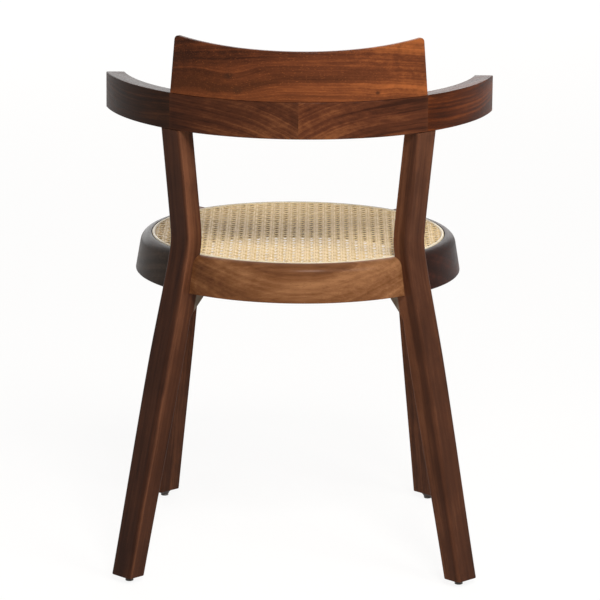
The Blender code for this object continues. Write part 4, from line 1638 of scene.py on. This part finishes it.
@dataclass
class LegScrews:
    """The screws through the ring into the legs, with their cross recesses."""

    inner: float = 0.204
    height: float = 0.4335
    spread: float = 0.018
    head_radius: float = 0.0042
    head_height: float = 0.0025
    radius: float = 0.002
    length: float = 0.03
    point: float = 0.004
    point_radius: float = 0.0003
    recess: Point = (0.0042, 0.0009, 0.003)
    recess_taper: Point = (0.45, 0.7, 1)
    sides: int = 32

    def model(self) -> Item:
        """Turns a screw and cuts its recess.

        Returns:
            The screw: its head's underside is at zero and its shank runs up.
        """
        head, low = self.head_radius, -self.head_height
        screw = turned("screw", (
            (head * 0.6, low), (head * 0.86, low * 0.86), (head, low * 0.45), (head, low * 0.2),
            (head * 0.95, 0.0), (self.radius, 0.0), (self.radius, self.length - self.point),
            (self.point_radius, self.length),
        ), self.sides).close()
        for turn in (0, 90):
            bar = start("recess", bpy.ops.mesh.primitive_cube_add, size=1)
            bar.resize(self.recess)
            bar.move((0, 0, low))
            bar.pick_points(lambda p: p.z > low)
            bar.resize(self.recess_taper, (0, 0, low))
            tool = bar.done(Matrix.Rotation(math.radians(turn), 4, "Z"))
            carve(screw, tool)
            remove(tool)
        return screw

    def build(self) -> None:
        """Puts two screws in each leg."""
        screw, steel = self.model(), zinced_steel("steel").material()
        lay = Matrix.Rotation(math.pi / 2, 4, "Y")
        for corner, angle in CORNER_ANGLES.items():
            for number, side in ((1, -1), (2, 1)):
                name = "leg_screw_" + corner + "_" + str(number)
                piece = twin(screw, "shaped_" + name)
                spot = (self.inner - FIT_GAP, side * self.spread / 2, self.height)
                settle(piece, seat_place(angle) @ Matrix.Translation(spot) @ lay)
                deliver(piece, steel, "steel", name, angle=TURNED_ANGLE)
        remove(screw)


@dataclass
class HiddenPieces:
    """The CAD nodes that stay: loose tongues, dowels and the glides' nails."""

    def build(self) -> None:
        """Gives each its finish."""
        wood, steel = beech().material(), zinced_steel("nail_steel").material()
        for name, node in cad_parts.items():
            if "tongue" in name or "dowel" in name or "nail" in name:
                node.data.materials.clear()
                node.data.materials.append(steel if "nail" in name else wood)
                log.info("%s: CAD node, new finish", name)


@dataclass
class Studio:
    """The camera, the soft light and the pale floor."""

    camera_place: Point = (-0.0229, 5.1662, 1.5618)
    pitch: float = 0.2293
    yaw: float = 0.00371
    roll: float = 0.0098
    lens: float = 220.4
    sensor: float = 36
    view_end: float = 100
    aim: Point = (0, 0, 0.45)
    ambient: Colour = (1, 0.9, 0.79, 1)
    ambient_strength: float = 0.22
    floor_colour: Colour = (0.87, 0.84, 0.8, 1)
    floor_radius: float = 14
    floor_roughness: float = 0.9
    floor_sides: int = 64
    floor_glow: float = 1.05
    glow_share: float = 0.85
    lamps: Sequence[tuple[str, Point, Pair, float]] = (
        ("key", (-2.4, 2.3, 2.5), (1.4, 1.4), 50.0),
        ("rear", (-0.45, 2.53, 2.68), (0.8, 0.8), 68.0),
        ("fill", (2.2, 3.0, 2.0), (2.0, 2.0), 3.0),
        ("far", (0.9, -6.2, 2.2), (6.5, 3.8), 150.0),
        ("overhead", (-0.3, 0.0, 3.2), (1.6, 1.6), 6.0),
    )

    def camera(self) -> None:
        """Sets the camera at the photograph's place and angle."""
        sine, cosine = math.sin(self.yaw), math.cos(self.yaw)
        flat, fall = math.cos(self.pitch), math.sin(self.pitch)
        ahead = Vector((sine * flat, -cosine * flat, -fall))
        level = Vector((-cosine, -sine, 0))
        above = level.cross(ahead)
        right = level * math.cos(self.roll) + above * math.sin(self.roll)
        up = above * math.cos(self.roll) - level * math.sin(self.roll)
        data = bpy.data.cameras.new("camera")
        data.lens, data.sensor_width, data.clip_end = self.lens, self.sensor, self.view_end
        camera = bpy.data.objects.new("camera", data)
        turn = Matrix((right, up, -ahead)).transposed().to_4x4()
        camera.matrix_world = Matrix.Translation(self.camera_place) @ turn
        bpy.context.scene.collection.objects.link(camera)
        bpy.context.scene.camera = camera

    def lamp(self, name: str, place: Point, size: Pair, power: float) -> None:
        """Hangs a soft lamp that points at the seat.

        Args:
            name: Its name.
            place: Where it hangs.
            size: How wide and high it is.
            power: Its power in watts.
        """
        data = bpy.data.lights.new(name, "AREA")
        data.shape, data.energy = "RECTANGLE", power
        data.size, data.size_y = size
        lamp = bpy.data.objects.new(name, data)
        lamp.location = place
        away = Vector(self.aim) - Vector(place)
        lamp.rotation_euler = away.to_track_quat("-Z", "Y").to_euler()
        lamp.visible_camera = False
        bpy.context.scene.collection.objects.link(lamp)

    def world(self) -> None:
        """Makes a plain pale surround, white where the camera, a reflection or glass shows it."""
        world = bpy.data.worlds.new("surround")
        bpy.context.scene.world = world
        world.use_nodes = True
        laid = Nodes(world.node_tree)
        plain = world.node_tree.nodes["Background"]
        laid.feed(plain, {"Color": self.ambient, "Strength": self.ambient_strength})
        white = laid.node("ShaderNodeBackground", {"Color": (1, 1, 1, 1), "Strength": 1.0})
        both = laid.blend(laid.seen(), Wire(laid, plain.outputs[0]), white)
        laid.feed(world.node_tree.nodes["World Output"], {0: both})

    def floor(self) -> None:
        """Lays a pale floor that keeps a faint shadow, and that isn't there from below."""
        floor = start(
            "floor", bpy.ops.mesh.primitive_circle_add, vertices=self.floor_sides,
            radius=self.floor_radius, fill_type="NGON",
        ).close()
        paint = Paint("floor")
        paint.finish(self.floor_colour, self.floor_roughness)
        plain = Wire(paint, paint.shader.outputs[0])
        glow = paint.node("ShaderNodeEmission", {"Strength": self.floor_glow})
        lit = paint.blend(paint.seen() * self.glow_share, plain, glow)
        below = paint.node("ShaderNodeNewGeometry", {}, "Backfacing")
        through = paint.blend(below, lit, paint.node("ShaderNodeBsdfTransparent", {}))
        paint.feed(paint.tree.nodes["Material Output"], {0: through})
        floor.data.materials.append(paint.material)

    def build(self) -> None:
        """Sets up the whole studio."""
        self.camera()
        self.world()
        for lamp in self.lamps:
            self.lamp(*lamp)
        self.floor()
        bpy.context.scene.view_settings.view_transform = "Standard"
        log.info("studio ready")


def main() -> None:
    """Builds the chair's pieces and the studio, in order."""
    notches = Legs().build()
    SeatRing().build(notches)
    for tool in notches.values():
        remove(tool)
    CanePanel().build()
    CaneReed().build()
    hoop = Hoop()
    hoop.build()
    BackPanel(hoop).build()
    Glides().build()
    LegScrews().build()
    HiddenPieces().build()
    Studio().build()


if __name__ == "__main__":
    main()
